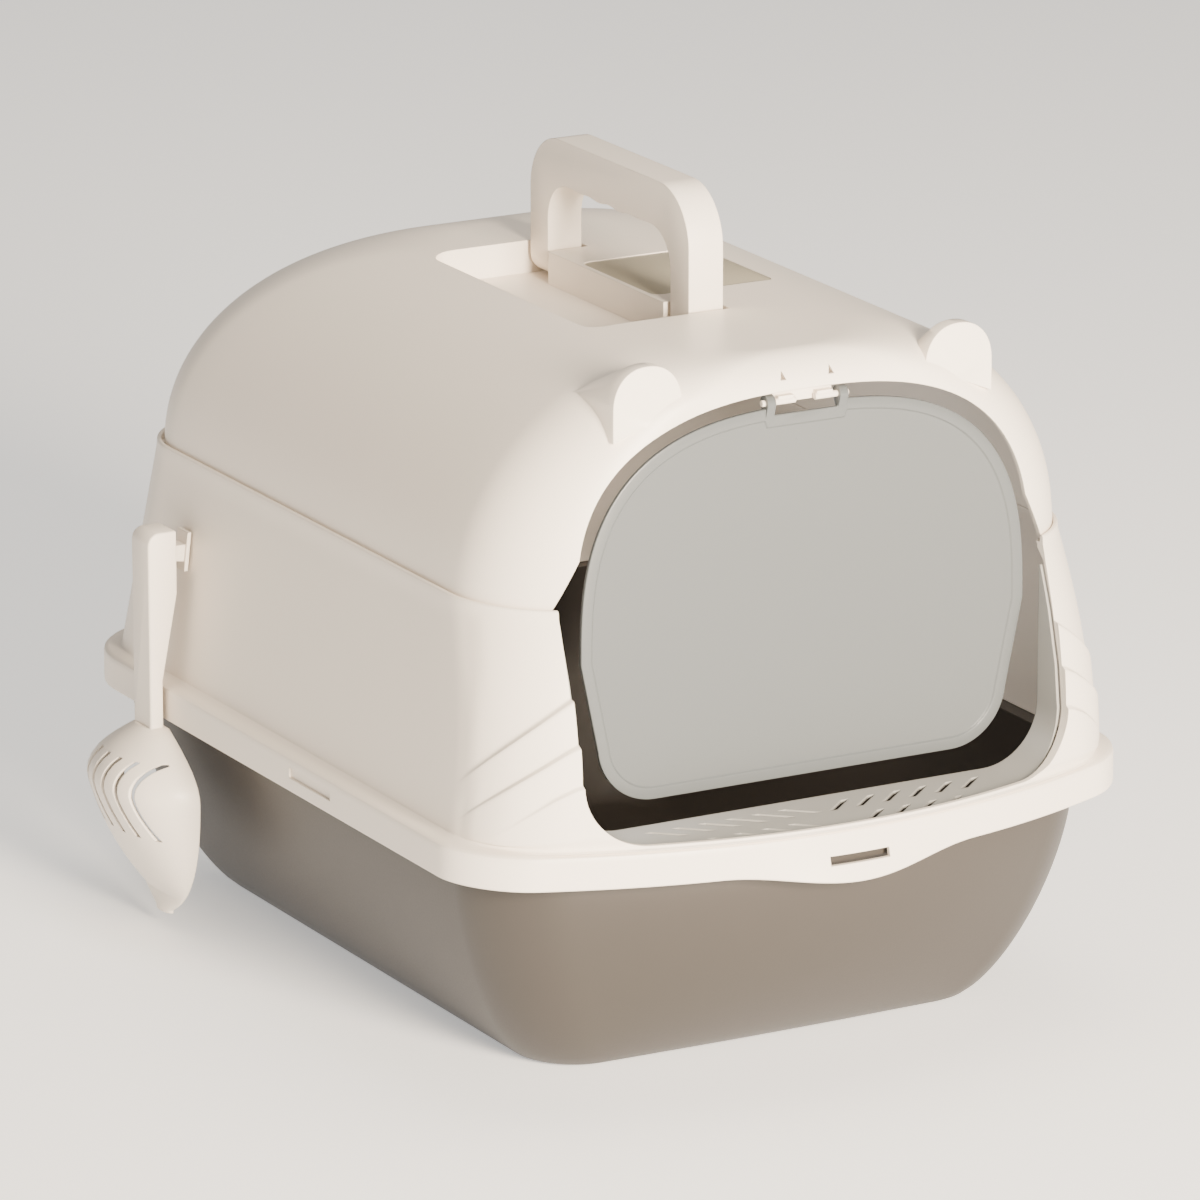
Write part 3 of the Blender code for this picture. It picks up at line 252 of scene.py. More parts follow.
def skin(name, rings, closed=False):
    """A solid pulled ring by ring from a circle; closed on itself, or capped at both ends."""
    bpy.ops.object.select_all(action="DESELECT")
    bpy.ops.mesh.primitive_circle_add(vertices=len(rings[0]), radius=0.1, fill_type="NOTHING")
    piece = bpy.context.object
    piece.name = piece.data.name = name
    seat = piece.data.attributes.new("seat", "INT", "POINT")
    seat.data.foreach_set("value", range(len(rings[0])))
    piece.data.attributes.new("ring", "INT", "POINT")
    bpy.ops.object.mode_set(mode="EDIT")
    bpy.ops.mesh.select_mode(type="VERT")
    bpy.ops.mesh.select_all(action="SELECT")
    path = rings + [rings[0]] if closed else rings
    for k, ring in enumerate(path):
        if k:
            bpy.ops.mesh.extrude_region_move()
        bm = bmesh.from_edit_mesh(piece.data)
        seats, numbers = bm.verts.layers.int["seat"], bm.verts.layers.int["ring"]
        for v in bm.verts:
            if v.select:
                v.co, v[numbers] = ring[v[seats]], k
        bmesh.update_edit_mesh(piece.data)
    if closed:
        bpy.ops.mesh.select_all(action="SELECT")
        bpy.ops.mesh.remove_doubles(threshold=1e-6)
    else:
        for end in (0, len(path) - 1):
            bpy.ops.mesh.select_all(action="DESELECT")
            bm = bmesh.from_edit_mesh(piece.data)
            numbers = bm.verts.layers.int["ring"]
            for v in bm.verts:
                v.select_set(v[numbers] == end)
            bm.select_flush_mode()
            bmesh.update_edit_mesh(piece.data)
            bpy.ops.mesh.edge_face_add()
    bpy.ops.mesh.select_all(action="SELECT")
    bpy.ops.mesh.normals_make_consistent(inside=False)
    bpy.ops.object.mode_set(mode="OBJECT")
    for layer in ("seat", "ring"):
        piece.data.attributes.remove(piece.data.attributes[layer])
    return piece


def prism(name, pairs, low, high, axis="Z"):
    """A flat outline pulled between two values of an axis."""
    order = {"Z": lambda a, b, c: (a, b, c), "Y": lambda a, b, c: (a, c, b),
             "X": lambda a, b, c: (c, a, b)}[axis]
    return skin(name, [[order(a, b, low) for a, b in pairs], [order(a, b, high) for a, b in pairs]])


def block(name, low, high):
    """A box between two corners, as a tool."""
    x0, y0, z0 = low
    x1, y1, z1 = high
    return prism(name, [(x0, y0), (x1, y0), (x1, y1), (x0, y1)], z0, z1)


def rod(name, axis, centre, radius, low, high, sides=32):
    """A round bar along an axis, as a tool."""
    pairs = [(centre[0] + radius * math.cos(2 * math.pi * k / sides),
              centre[1] + radius * math.sin(2 * math.pi * k / sides)) for k in range(sides)]
    return prism(name, pairs, low, high, axis)


def joined(tools):
    """Several tools as one object."""
    bpy.ops.object.select_all(action="DESELECT")
    for tool in tools:
        tool.select_set(True)
    bpy.context.view_layer.objects.active = tools[0]
    if len(tools) > 1:
        bpy.ops.object.join()
    return bpy.context.object


def boolean(piece, tools, operation="DIFFERENCE"):
    """Cut tools out of a piece, add them to it or keep what they share, and use them up."""
    tool = joined(tools)
    only(piece)
    mod = piece.modifiers.new("shape", "BOOLEAN")
    mod.operation, mod.solver, mod.object = operation, "EXACT", tool
    bpy.ops.object.modifier_apply(modifier=mod.name)
    bpy.data.objects.remove(tool)
    if not piece.data.polygons:
        raise RuntimeError(f"{piece.name} was lost in a {operation.lower()}")
    return piece


def rounded(piece, width, segments=3, angle=35.0):
    """Round a piece's edges that are sharper than an angle."""
    only(piece)
    mod = piece.modifiers.new("round", "BEVEL")
    mod.width, mod.segments, mod.angle_limit = width, segments, math.radians(angle)
    mod.limit_method, mod.use_clamp_overlap = "ANGLE", True
    bpy.ops.object.modifier_apply(modifier=mod.name)
    return piece


def deliver(piece, body, finish, nodes, angle=32.0):
    """Smooth a finished piece, give it its material and set it on its body."""
    only(piece)
    bpy.ops.object.shade_smooth_by_angle(angle=math.radians(angle))
    piece.data.materials.clear()
    piece.data.materials.append(finish_named(finish))
    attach(piece, body)
    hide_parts(*nodes)
    return piece


def lerp(a, b, t):
    return a + (b - a) * t


def smooth(t):
    t = min(1.0, max(0.0, t))
    return t * t * (3 - 2 * t)


# ---- shared outlines ----------------------------------------------------------------------
def arc(centre, radius, start, sweep, steps):
    """Points of a round stretch, from a start angle through a sweep in degrees."""
    turns = [math.radians(start + sweep * k / steps) for k in range(steps + 1)]
    return [(centre[0] + radius * math.cos(a), centre[1] + radius * math.sin(a)) for a in turns]


def outline(half_w, front, rear, r_front, r_rear, z, bow=0.0):
    """Plan outline with a front that bows by so much at its middle."""
    points = []

    def corner(cx, cy, radius, start):
        points.extend(list(p) for p in arc((cx, cy), radius, start, 90.0, CORNER))

    def run(x0, y0, x1, y1, steps):
        for k in range(1, steps):
            t = k / steps
            points.append([x0 + (x1 - x0) * t, y0 + (y1 - y0) * t])

    xf, xr = half_w - r_front, half_w - r_rear
    yf, yr = -(front - r_front), rear - r_rear
    corner(-xf, yf, r_front, 180.0)
    run(-xf, -front, xf, -front, FRONT)
    corner(xf, yf, r_front, 270.0)
    run(half_w, yf, half_w, yr, SIDE)
    corner(xr, yr, r_rear, 0.0)
    run(xr, rear, -xr, rear, SIDE)
    corner(-xr, yr, r_rear, 90.0)
    run(-half_w, yr, -half_w, yf, SIDE)
    for p in points:
        if p[1] < yf + 1e-9:
            p[1] -= bow * max(0.0, 1.0 - (p[0] / half_w) ** 2)
    return [(x, y, z) for x, y in points]


def rounded_rect(x0, y0, x1, y1, radius, steps=8):
    """Rectangle with round corners, anticlockwise from its far right one."""
    corners = ((x1 - radius, y1 - radius, 0), (x0 + radius, y1 - radius, 90),
               (x0 + radius, y0 + radius, 180), (x1 - radius, y0 + radius, 270))
    return [p for cx, cy, start in corners for p in arc((cx, cy), radius, start, 90.0, steps)]


def arch(half_w, bottom_z, top_z, power, steps, start_z=None):
    """Right half of an arch, from its foot to its crown, as (x, z) pairs."""
    share = 0.0 if start_z is None else (start_z - bottom_z) / (top_z - bottom_z)
    first = math.asin(share ** (power / 2))
    pairs = []
    for k in range(steps + 1):
        a = lerp(first, math.pi / 2, k / steps)
        x = half_w * max(0.0, math.cos(a)) ** (2 / power)
        pairs.append((x, bottom_z + (top_z - bottom_z) * math.sin(a) ** (2 / power)))
    return pairs


def mirrored(pairs):
    return pairs + [(-x, z) for x, z in reversed(pairs[:-1])]


def skirt_ring(z, inset=0.0, drop=0.0):
    """Outline of the skirt; drop lowers and flares the middle of its front into a tongue."""
    out = []
    for x, y, height in outline(0.2050 - inset, 0.2348 - inset, 0.2455 - inset, 0.034 - inset,
                                0.060 - inset, z, 0.0527):
        if y < 0 and abs(x) < 0.078:
            share = 0.5 * (1 + math.cos(math.pi * x / 0.078))
            height -= drop * share
            y -= 0.0070 * share * drop / 0.0080
        out.append((x, y, height))
    return out


def frame_ring(z, inset=0.0):
    """Outline of the hood frame's wall between the ledge and the seam."""
    t = min(1.0, max(0.0, (SEAM_Z - z) / (SEAM_Z - FOOT_Z)))
    belly = 0.0085 * math.sin(math.pi * t)
    return outline(lerp(0.1825, 0.1960, t) - inset, lerp(0.2380, 0.2335, t) + belly - inset,
                   lerp(0.2155, 0.2400, t) - inset, lerp(0.068, 0.038, t) - inset,
                   lerp(0.055, 0.060, t) - inset, z, lerp(0.0030, 0.0520, t ** 1.6))


# each whisker step: its height at the entry, its slope, where it ends, its share of the depth
WHISKERS = ((0.2250, 0.545, 0.246, 1.00), (0.1990, 0.520, 0.242, 0.85),
            (0.1785, 0.600, 0.200, 0.70))


def along(x, y):
    """Distance from the box's middle along the front and round the corner, as it is walked."""
    return abs(x) + max(0.0, y + 0.250)


def wall_rows():
    """Heights of the wall's rows at the entry's edge, close together at each whisker step."""
    rows = [lerp(FOOT_Z, SEAM_Z - 0.0005, k / 64) for k in range(65)]
    for top, *_ in WHISKERS:
        rows = [q for q in rows if abs(q - top) > 0.0016]
        rows += [top + d for d in (-0.0014, -0.0008, -0.0003, 0.0003, 0.0008, 0.0014)]
    return sorted(rows)


def row_height(row, walked):
    """Where a row runs at a distance along the wall, so that rows follow the whiskers."""
    low_q, low_z = FOOT_Z, FOOT_Z
    for top, slope, _, _ in reversed(WHISKERS):
        z = max(low_z + 0.004, top - slope * min(0.102, max(0.0, walked - 0.148)))
        if row <= top:
            return lerp(low_z, z, (row - low_q) / (top - low_q))
        low_q, low_z = top, z
    return lerp(low_z, SEAM_Z, (row - low_q) / (SEAM_Z - low_q))


def relief(x, y, row):
    """How far the wall stands proud of its plain form: whisker steps and side panels."""
    walked = along(x, y)
    proud = total = 0.0
    if y < -0.10:
        for top, _, end, share in WHISKERS:
            depth = sizes().whisker_step * share * smooth((end - walked) / 0.060)
            proud += depth * smooth((top - row) / 0.0024 + 0.5)
            total += depth
        proud -= total * 0.75 * (SEAM_Z - row) / (SEAM_Z - FOOT_Z)
        proud *= smooth((row - FOOT_Z) / 0.006)
    if y < 0.185:
        proud -= sizes().panel_recess * smooth((walked - 0.229) / 0.005) * smooth((0.180 - y) / 0.02)
    return proud * smooth((SEAM_Z - row) / 0.0020)


def wall_rings():
    """The frame's outer wall with its relief, row by row."""
    count = 48
    plain = [frame_ring(lerp(FOOT_Z, SEAM_Z, k / count)) for k in range(count + 1)]
    rings = []
    for row in wall_rows():
        ring = []
        for k, (x0, y0, _) in enumerate(frame_ring(row)):
            z = row_height(row, along(x0, y0))
            t = min(count - 1e-6, max(0.0, (z - FOOT_Z) / (SEAM_Z - FOOT_Z) * count))
            low, high = plain[int(t)], plain[int(t) + 1]
            x, y = (lerp(low[k][i], high[k][i], t - int(t)) for i in (0, 1))
            (xa, ya, _), (xb, yb, _) = low[k - 1], low[(k + 1) % len(low)]
            length = math.hypot(xb - xa, yb - ya)
            by = relief(x, y, row)
            ring.append((x + (yb - ya) / length * by, y - (xb - xa) / length * by, z))
        rings.append(ring)
    return rings


def cover_ring(turn, inset=0.0):
    """Outline of the top cover; turn is 0 at the seam and 90 degrees at the roof."""
    clear = 0.0032
    c, s = math.cos(math.radians(turn)), math.sin(math.radians(turn))
    z = SEAM_Z + TOUCH + (ROOF_Z - SEAM_Z - TOUCH - inset) * s
    half_w = lerp(0.0533, 0.1825 - clear, c) - inset * c
    rear = lerp(0.1000, 0.2155 - clear, c) - inset * c
    drop_z = ROOF_Z - 0.0200
    over = max(0.0, (z - drop_z) / (ROOF_Z - inset - drop_z))
    round_in = 0.0200 * (1 - math.sqrt(max(0.0, 1 - over ** 2)))
    front = lerp(0.2380 - clear, 0.2300, s) - round_in - inset * (1 - over)
    r_front = min(lerp(0.068 - clear, 0.050, s), half_w - 0.004) - inset * 0.5
    r_rear = min(lerp(0.055, 0.050, s), half_w - 0.003) - inset * 0.5
    return outline(half_w, front, rear, r_front, r_rear, z, 0.0030)


def tray_ring(z, inset=0.0):
    """Outline of the tray's wall, a curve that swells from the base to the shoulder."""
    t = min(1.0, z / 0.1150)
    s = (1 - (1 - t) ** 1.45) ** (1 / 1.45)
    radius = lerp(0.032, 0.040, s) - inset
    return outline(lerp(0.1340, 0.1870, s) - inset, lerp(0.1950, 0.2247, s) - inset,
                   lerp(0.1950, 0.2315, s) - inset, radius, radius, z, 0.0480 * s)


def entry_outline(top=None):
    """Entry opening in front view; with top given, its sides end there as a U."""
    centre, pairs = 0.114, []
    for side, start in ((-1, 180), (1, 270)):
        pairs += arc((side * centre, 0.178), 0.034, start, 90.0, 16)
    if top is not None:
        return pairs + [(0.148, top), (-0.148, top)]
    crown = arch(0.1380, SEAM_Z, 0.3690, 2.6, 28, 0.2920)
    return pairs + mirrored([(0.1510, SEAM_Z)] + crown)


# ---- the shells ---------------------------------------------------------------------------
def build_tray():
    levels = [0.0, 0.0008, 0.002] + [0.115 * (k / 28) ** 1.3 for k in range(3, 29)]
    inner = [tray_ring(0.0030, 0.0068), tray_ring(0.0042, 0.0040)]
    inner += [tray_ring(z, 0.0028) for z in levels if z > 0.006]
    rim_top, under = 0.1386, 0.1358
    rim = [tray_ring(rim_top, 0.0028), skirt_ring(rim_top, 0.0034), skirt_ring(0.1235, 0.0034),
           skirt_ring(0.1235, 0.0058), skirt_ring(under, 0.0058), tray_ring(under)]
    base = [tray_ring(0.002), tray_ring(0.0006, 0.0006), tray_ring(0.0, 0.0020)]
    outer = [tray_ring(z) for z in reversed(levels) if z > 0.003] + base
    tray = skin("litter_tray_shell", inner + rim + outer)
    return deliver(tray, "tray", "taupe_moulded_polypropylene", ["litter_tray"], 50)


def build_frame():
    s = sizes()
    skirt = [skirt_ring(0.1222, 0.0006, 0.0080), skirt_ring(0.1228, 0.0, 0.0080)]
    for k in range(1, 13):
        t = k / 12
        skirt.append(skirt_ring(lerp(0.1228, LEDGE_TOP - 0.0030, t), 0.0, 0.0080 * (1 - t)))
    skirt += [skirt_ring(LEDGE_TOP - 0.0012, 0.0005), skirt_ring(LEDGE_TOP - 0.0002, 0.0018),
              skirt_ring(LEDGE_TOP, 0.0032), frame_ring(LEDGE_TOP + 0.0004, -0.0022),
              frame_ring(LEDGE_TOP + 0.0012, -0.0006)]
    lip, r, top = [], s.lip_round, SEAM_Z + 0.0040
    for k in range(7):
        a = math.radians(180.0 * k / 6)
        lip.append(frame_ring(top - r + r * math.sin(a), r - r * math.cos(a)))
    lip += [frame_ring(SEAM_Z, 0.0028), frame_ring(SEAM_Z, 0.0058),
            frame_ring(SEAM_Z - 0.004, 0.0058)]
    inner = [frame_ring(z, s.wall) for z in (0.2535, 0.228, 0.200, 0.176, 0.156, FOOT_Z)]
    inner += [frame_ring(LEDGE_TOP - s.wall, s.wall), skirt_ring(LEDGE_TOP - s.wall, s.wall),
              skirt_ring(0.1220, s.wall, 0.0080), skirt_ring(0.1220, 0.0012, 0.0080)]
    shell = skin("hood_frame_shell", skirt + wall_rings() + lip + inner, closed=True)
    boolean(shell, [prism("entry_low", entry_outline(SEAM_Z + 0.03), *ENTRY_CUT, "Y")])
    slots = [block("front_catch", (-0.018, -0.32, 0.124), (0.018, -0.2809, 0.129))]
    for side in (-1, 1):
        x0, x1 = sorted((side * 0.2036, side * 0.22))
        slots.append(block("side_catch", (x0, -0.078, 0.130), (x1, -0.030, 0.136)))
    boolean(shell, slots)
    lugs = [knuckle(side * HINGE_X + k * 0.0105, 0.0054, 0.2145, 0.2600, 0.2159)
            for side in (-1, 1) for k in (-1, 1)]
    boolean(shell, lugs, "UNION")
    boolean(shell, hinge_bores())
    return deliver(shell, "hood", "cream_moulded_polypropylene", ["hood_frame"])


def hinge_bores():
    """Tools for the bores of both rear hinges."""
    return [rod("bore", "X", HINGE_YZ, HINGE_BORE, side * HINGE_X - HINGE_REACH,
                side * HINGE_X + HINGE_REACH) for side in (-1, 1)]


def knuckle(x, width, wall_y, web_z, out_y):
    """One hinge knuckle; its web runs level from the wall, then into the round."""
    pairs = arc(HINGE_YZ, 0.0045, -120, 240.0, 24)
    pairs += [(wall_y, min(0.2717, web_z + 0.0075)), (wall_y, web_z), (out_y, web_z)]
    return prism("knuckle", pairs, x - width / 2, x + width / 2, "X")


def recess_outline(grow=0.0):
    """C-shaped recess around the hatch, for the folded handle."""
    left, right, neck = -0.0723 - grow, 0.0123 + grow, -0.0125 + grow
    y0, y1, inner0, inner1 = -0.1285 - grow, 0.0570 + grow, -0.1000 + grow, 0.0290 - grow
    r, pairs = 0.012, []
    for cx, cy, start in ((left + r, y1 - r, 90), (left + r, y0 + r, 180)):
        pairs += arc((cx, cy), r, start, 90.0, 8)
    return pairs + [(right, y0), (right, inner0), (neck, inner0), (neck, inner1),
                    (right, inner1), (right, y1)]


def build_ear(side):
    """One cat ear: an upright arch flush with the front face, sloping away behind."""
    front = [(0.0205, 0.3520)] + mirrored(arch(0.0205, 0.3690, 0.3915, 2.2, 14))
    bpy.ops.object.select_all(action="DESELECT")
    bpy.ops.mesh.primitive_circle_add(vertices=len(front), radius=0.02, fill_type="NGON")
    ear = bpy.context.object
    for v, (x, z) in zip(ear.data.vertices, front):
        v.co = (side * (0.0945 + x), -0.2293, z)
    bpy.ops.object.mode_set(mode="EDIT")
    bpy.ops.mesh.select_all(action="SELECT")
    bpy.ops.mesh.extrude_region_move(TRANSFORM_OT_translate={"value": (0, 0.0088, 0)})
    bm = bmesh.from_edit_mesh(ear.data)
    for x, y, z in ((0.1150, -0.1835, 0.3690), (0.1048, -0.1835, 0.3730), (0.0740, -0.2007, 0.3680)):
        bm.verts.new((side * x, y, z))
    bmesh.update_edit_mesh(ear.data)
    bpy.ops.mesh.select_all(action="SELECT")
    bpy.ops.mesh.convex_hull()
    bpy.ops.mesh.normals_make_consistent(inside=False)
    bpy.ops.object.mode_set(mode="OBJECT")
    return rounded(ear, 0.0014, 4, 28)


def build_cover():
    s = sizes()
    steps = 44
    turns = [90.0 * (k / steps) ** 0.9 for k in range(steps + 1)]
    outer = [cover_ring(t) for t in turns]
    inner = [cover_ring(t, s.wall) for t in reversed(turns[::4])]
    inner[-1] = [(x, y, SEAM_Z + TOUCH) for x, y, z in inner[-1]]
    shell = skin("top_cover_shell", inner + outer)
    low = ROOF_Z - 0.0209
    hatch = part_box("filter_cover")
    x0, y0 = hatch[0].x - 0.0004, hatch[0].y - 0.0004
    x1, y1 = hatch[1].x + 0.0004, hatch[1].y + 0.0004
    boolean(shell, [prism("well", recess_outline(0.0024), low, ROOF_Z - 0.0022)], "UNION")
    boolean(shell, [block("shelf", (x0 - 0.002, y0 - 0.002, ROOF_Z - 0.0075),
                          (x1 + 0.002, y1 + 0.002, ROOF_Z - 0.0022))], "UNION")
    for side in (-1, 1):
        boolean(shell, [build_ear(side)], "UNION")
    boolean(shell, [knuckle(side * HINGE_X, 0.0144, 0.2111, SEAM_Z + 0.0043, 0.2163)
                    for side in (-1, 1)], "UNION")
    boolean(shell, [prism("entry_high", entry_outline(), *ENTRY_CUT, "Y")])
    boolean(shell, [prism("recess", recess_outline(), ROOF_Z - 0.0185, ROOF_Z + 0.02)])
    boolean(shell, [prism("hatch_seat", rounded_rect(x0, y0, x1, y1, 0.006), ROOF_Z - 0.0055,
                          ROOF_Z + 0.02)])
    boolean(shell, [prism("filter_hole", rounded_rect(x0 + 0.0035, y0 + 0.0035, x1 - 0.0035,
                                                      y1 - 0.0035, 0.004),
                          ROOF_Z - 0.03, ROOF_Z + 0.01)])
    tools = [rod("pin_hole", "Y", (0.0, HANDLE_AXIS_Z), HANDLE_BORE, a, a + 0.010)
             for a in (-0.1340, 0.0530)]
    tools += hinge_bores()
    for k in (-1, 1):
        tools.append(prism("notch", [(k * 0.0145 - 0.0017, 0.3745), (k * 0.0145 + 0.0017, 0.3745),
                                     (k * 0.0145, 0.3790)], -0.245, -0.2200, "Y"))
    boolean(shell, tools)
    return deliver(shell, "lid", "cream_moulded_polypropylene", ["top_cover"])


# ---- handle and hatch ---------------------------------------------------------------------
def build_handle():
    s = sizes()
    y0, y1 = HANDLE_Y
    top, foot, leg = 0.4515, HANDLE_AXIS_Z, 0.0200
    pairs = [(y1, foot)]
    for cy, start in ((y1 - 0.032, 0), (y0 + 0.032, 90)):
        pairs += arc((cy, top - 0.032), 0.032, start, 90.0, 20)
    pairs += [(y0, foot), (y0 + leg, foot)]
    under, r = top - 0.0250, 0.022
    low_y, high_y = y0 + leg + r, y1 - leg - r
    pairs += arc((low_y, under - r), r, 180, -90.0, 12)
    for k in range(1, 40):
        t = k / 40
        wave = s.finger_wave * math.sin(math.pi * t) * (0.5 - 0.5 * math.cos(8 * math.pi * t))
        pairs.append((lerp(low_y, high_y, t), under - wave))
    pairs += arc((high_y, under - r), r, 90, -90.0, 12)
    pairs.append((y1 - leg, foot))
    handle = prism("carry_handle_strap", pairs, -0.0105, 0.0105, "X")
    for a in (y0, y1 - leg):
        boolean(handle, [rod("foot", "Y", (0.0, foot), 0.0105, a, a + leg, 40)], "UNION")
    rounded(handle, s.handle_round, 4, 40)
    boolean(handle, [rod("bore", "Y", (0.0, foot), HANDLE_BORE, a - 0.002, a + leg + 0.002)
                     for a in (y0, y1 - leg)])
    return deliver(handle, "handle", "cream_moulded_polypropylene", ["carry_handle"])


def build_hatch():
    low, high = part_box("filter_cover")
    plate = prism("filter_hatch_plate", rounded_rect(low.x, low.y, high.x, high.y, 0.0056, 12),
                  low.z, high.z)
    rounded(plate, 0.0007, 3)
    return deliver(plate, "hatch", "tan_moulded_polypropylene", ["filter_cover"])


# ---- entry flap and step ------------------------------------------------------------------
def flap_outline():
    """The flap in front view: round lower corners, arched crown, dip between its lugs."""
    pairs = arc((0.0910, 0.190), 0.034, 270, 84.0, 16)
    crown = arch(0.1350, 0.2350, 0.3600, 2.8, 40)
    pairs += [p for p in crown if p[0] > 0.025]
    pairs += [(0.0205, 0.3600), (0.0190, 0.3558), (0.0, 0.3558)]
    return mirrored(pairs)


def build_flap():
    s = sizes()
    flap = prism("door_flap_panel", flap_outline(), -0.2310, -0.2285, "Y")
    only(flap)
    bpy.ops.object.mode_set(mode="EDIT")
    bpy.ops.mesh.select_mode(type="FACE")
    bpy.ops.mesh.select_all(action="DESELECT")
    bm = bmesh.from_edit_mesh(flap.data)
    for f in bm.faces:
        f.select_set(f.normal.y < -0.9)
    bmesh.update_edit_mesh(flap.data)
    bpy.ops.mesh.inset(thickness=s.flap_bead, depth=0.0)
    bpy.ops.mesh.inset(thickness=0.0008, depth=-0.0008)
    bpy.ops.object.mode_set(mode="OBJECT")
    rounded(flap, 0.0003, 2, 50)
    for side in (-1, 1):
        pairs = arc(FLAP_AXIS, 0.0042, -20, 220.0, 20)
        pairs += [(-0.2308, 0.3540), (-0.2287, 0.3540)]
        boolean(flap, [prism("lug", pairs, side * 0.022 - 0.0025, side * 0.022 + 0.0025, "X")],
                "UNION")
    boolean(flap, [rod("bore", "X", FLAP_AXIS, HINGE_BORE, -0.04, 0.04)])
    return deliver(flap, "flap", "smoked_sheet_with_painted_cabin_shade", ["door_flap"])


def step_outline(inset):
    """The step and its cheeks in front view, a U whose legs shorten with the inset."""
    half, low, r = 0.1483 - inset, 0.1395 + inset, 0.036 - inset
    pairs = []
    for cx, start in ((-half + r, 180), (half - r, 270)):
        pairs += arc((cx, low + r), r, start, 90.0, 16)
    top = 0.2510 + 4 * inset
    return pairs + [(half, top), (-half, top)]


def build_step():
    step = prism("step_grille_floor", step_outline(0.0), -0.32, -0.2290, "Y")
    hull = skin("hull", [frame_ring(z, 0.0044) for z in
                         (0.1389, FOOT_Z, 0.156, 0.176, 0.200, 0.228, 0.2535)])
    boolean(step, [hull], "INTERSECT")
    boolean(step, [prism("inside", step_outline(0.0020), *ENTRY_CUT, "Y")])
    slots = []
    dx, dy = 0.0075, 0.00675
    for row, y in enumerate((-0.2475, -0.2715)):
        for k in range(6 - row):
            x = 0.0120 + 0.0162 * (k + 0.5 * row)
            edge = 0.2335 + 0.0520 * (1 - ((x + dx) / 0.1960) ** 2) - 0.0044
            share = min(1.0, (edge - 0.0030 + y) / dy)
            if share < -0.3:
                continue
            x0, y0 = x - dx * share, y - dy * share
            for s in (-1, 1):
                pairs = [(s * (x0 - 0.0024), y0), (s * (x0 + 0.0024), y0),
                         (s * (x + dx + 0.0024), y + dy), (s * (x + dx - 0.0024), y + dy)]
                slots.append(prism("slot", pairs, 0.1375, 0.1435))
    boolean(step, slots)
    return deliver(step, "hood", "grey_moulded_polypropylene", ["step_grille"])


# ---- scoop --------------------------------------------------------------------------------
SCOOP_Y, SCOOP_OUT, NECK_Z, TIP_Z = 0.1290, -0.2155, 0.1190, 0.0090


def scoop_section(z, offset):
    """Half width, depth and mouth plane of the scoop's pan at a height."""
    t = (NECK_Z - z) / (NECK_Z - TIP_Z)
    swell = math.sin(0.5 * math.pi * min(1.0, 0.18 + t * 2.6))
    half = max(0.0505 * swell * max(0.0, 1 - t ** 3.2) ** 0.62, 0.009) - offset
    below = NECK_Z - z
    deep = 0.0425 * swell * max(0.0, 1 - t ** 2.1) ** 0.80 - 0.082 * below
    return half, max(deep, 0.004) - offset, SCOOP_OUT + 0.0095 + 0.033 * below


def pan_ring(z, offset=0.0, open_by=0.0):
    """Outline of the pan at a height; open_by pulls its two mouth corners towards the wall."""
    half, deep, mouth = scoop_section(z, offset)
    ring = []
    for k in range(41):
        a = math.pi * k / 40
        x = mouth - deep * math.sin(a) ** 0.8
        ring.append((x + (open_by if k in (0, 40) else 0.0), SCOOP_Y - half * math.cos(a), z))
    return ring


def scoop_slot(k, count):
    """One slot of the pan: a curved band, through its outer face only."""
    spread = (k - (count - 1) / 2) * 0.0125
    left, right = [], []
    for j in range(13):
        t = j / 12
        y = SCOOP_Y + spread * (1 + 0.06 * t) - 0.003 + 0.007 * math.sin(math.pi * t ** 0.8)
        z = lerp(0.105, 0.062, t)
        left.append((y - 0.0019, z))
        right.append((y + 0.0019, z))
    return prism("scoop_slot", left + right[::-1], -0.275, SCOOP_OUT - 0.001, "X")


def build_scoop():
    t = 0.0020
    levels = [lerp(TIP_Z, NECK_Z, (k / 30) ** 1.25) for k in range(31)]
    pan = skin("pan", [pan_ring(z) for z in levels])
    hollow = skin("hollow", [[(p[0], p[1], z) for p in pan_ring(max(z, TIP_Z), t, 0.02)]
                             for z in [TIP_Z - 0.01] + levels[:-1] + [NECK_Z - t]])
    boolean(pan, [hollow])
    boolean(pan, [scoop_slot(k, sizes().scoop_slots) for k in range(sizes().scoop_slots)])
    top, half, low, deep = 0.2310, 0.01075, NECK_Z - 0.012, 0.0175
    pairs = [(SCOOP_OUT, low)] + arc((SCOOP_OUT + 0.007, top - 0.007), 0.007, 180, -90.0, 8)
    back = [(SCOOP_OUT + deep, top), (SCOOP_OUT + deep, top - 0.036),
            (SCOOP_OUT + 0.008, LEDGE_TOP + 0.004), (SCOOP_OUT + 0.008, low)]
    scoop = prism("scoop_shell", pairs + back, SCOOP_Y - half, SCOOP_Y + half, "Y")
    rounded(scoop, 0.0012, 3, 50)
    inner = [(SCOOP_OUT + t, NECK_Z + t), (SCOOP_OUT + t, top - 0.010),
             (SCOOP_OUT + t + 0.0020, top - 0.0040), (SCOOP_OUT + t + 0.006, top - t),
             (SCOOP_OUT + 0.0375, top - t), (SCOOP_OUT + 0.0375, top - 0.036),
             (SCOOP_OUT + 0.028, LEDGE_TOP + 0.004), (SCOOP_OUT + 0.028, NECK_Z + t)]
    boolean(scoop, [prism("channel", inner, SCOOP_Y - half + t, SCOOP_Y + half - t, "Y")])
    boolean(scoop, [block("lip", (SCOOP_OUT + deep - t, SCOOP_Y - half + t / 2, top - t - 0.0035),
                          (SCOOP_OUT + deep - 0.0002, SCOOP_Y + half - t / 2, top - t / 2))], "UNION")
    boolean(scoop, [pan], "UNION")
    return deliver(scoop, "scoop", "cream_moulded_polypropylene", ["scoop"])


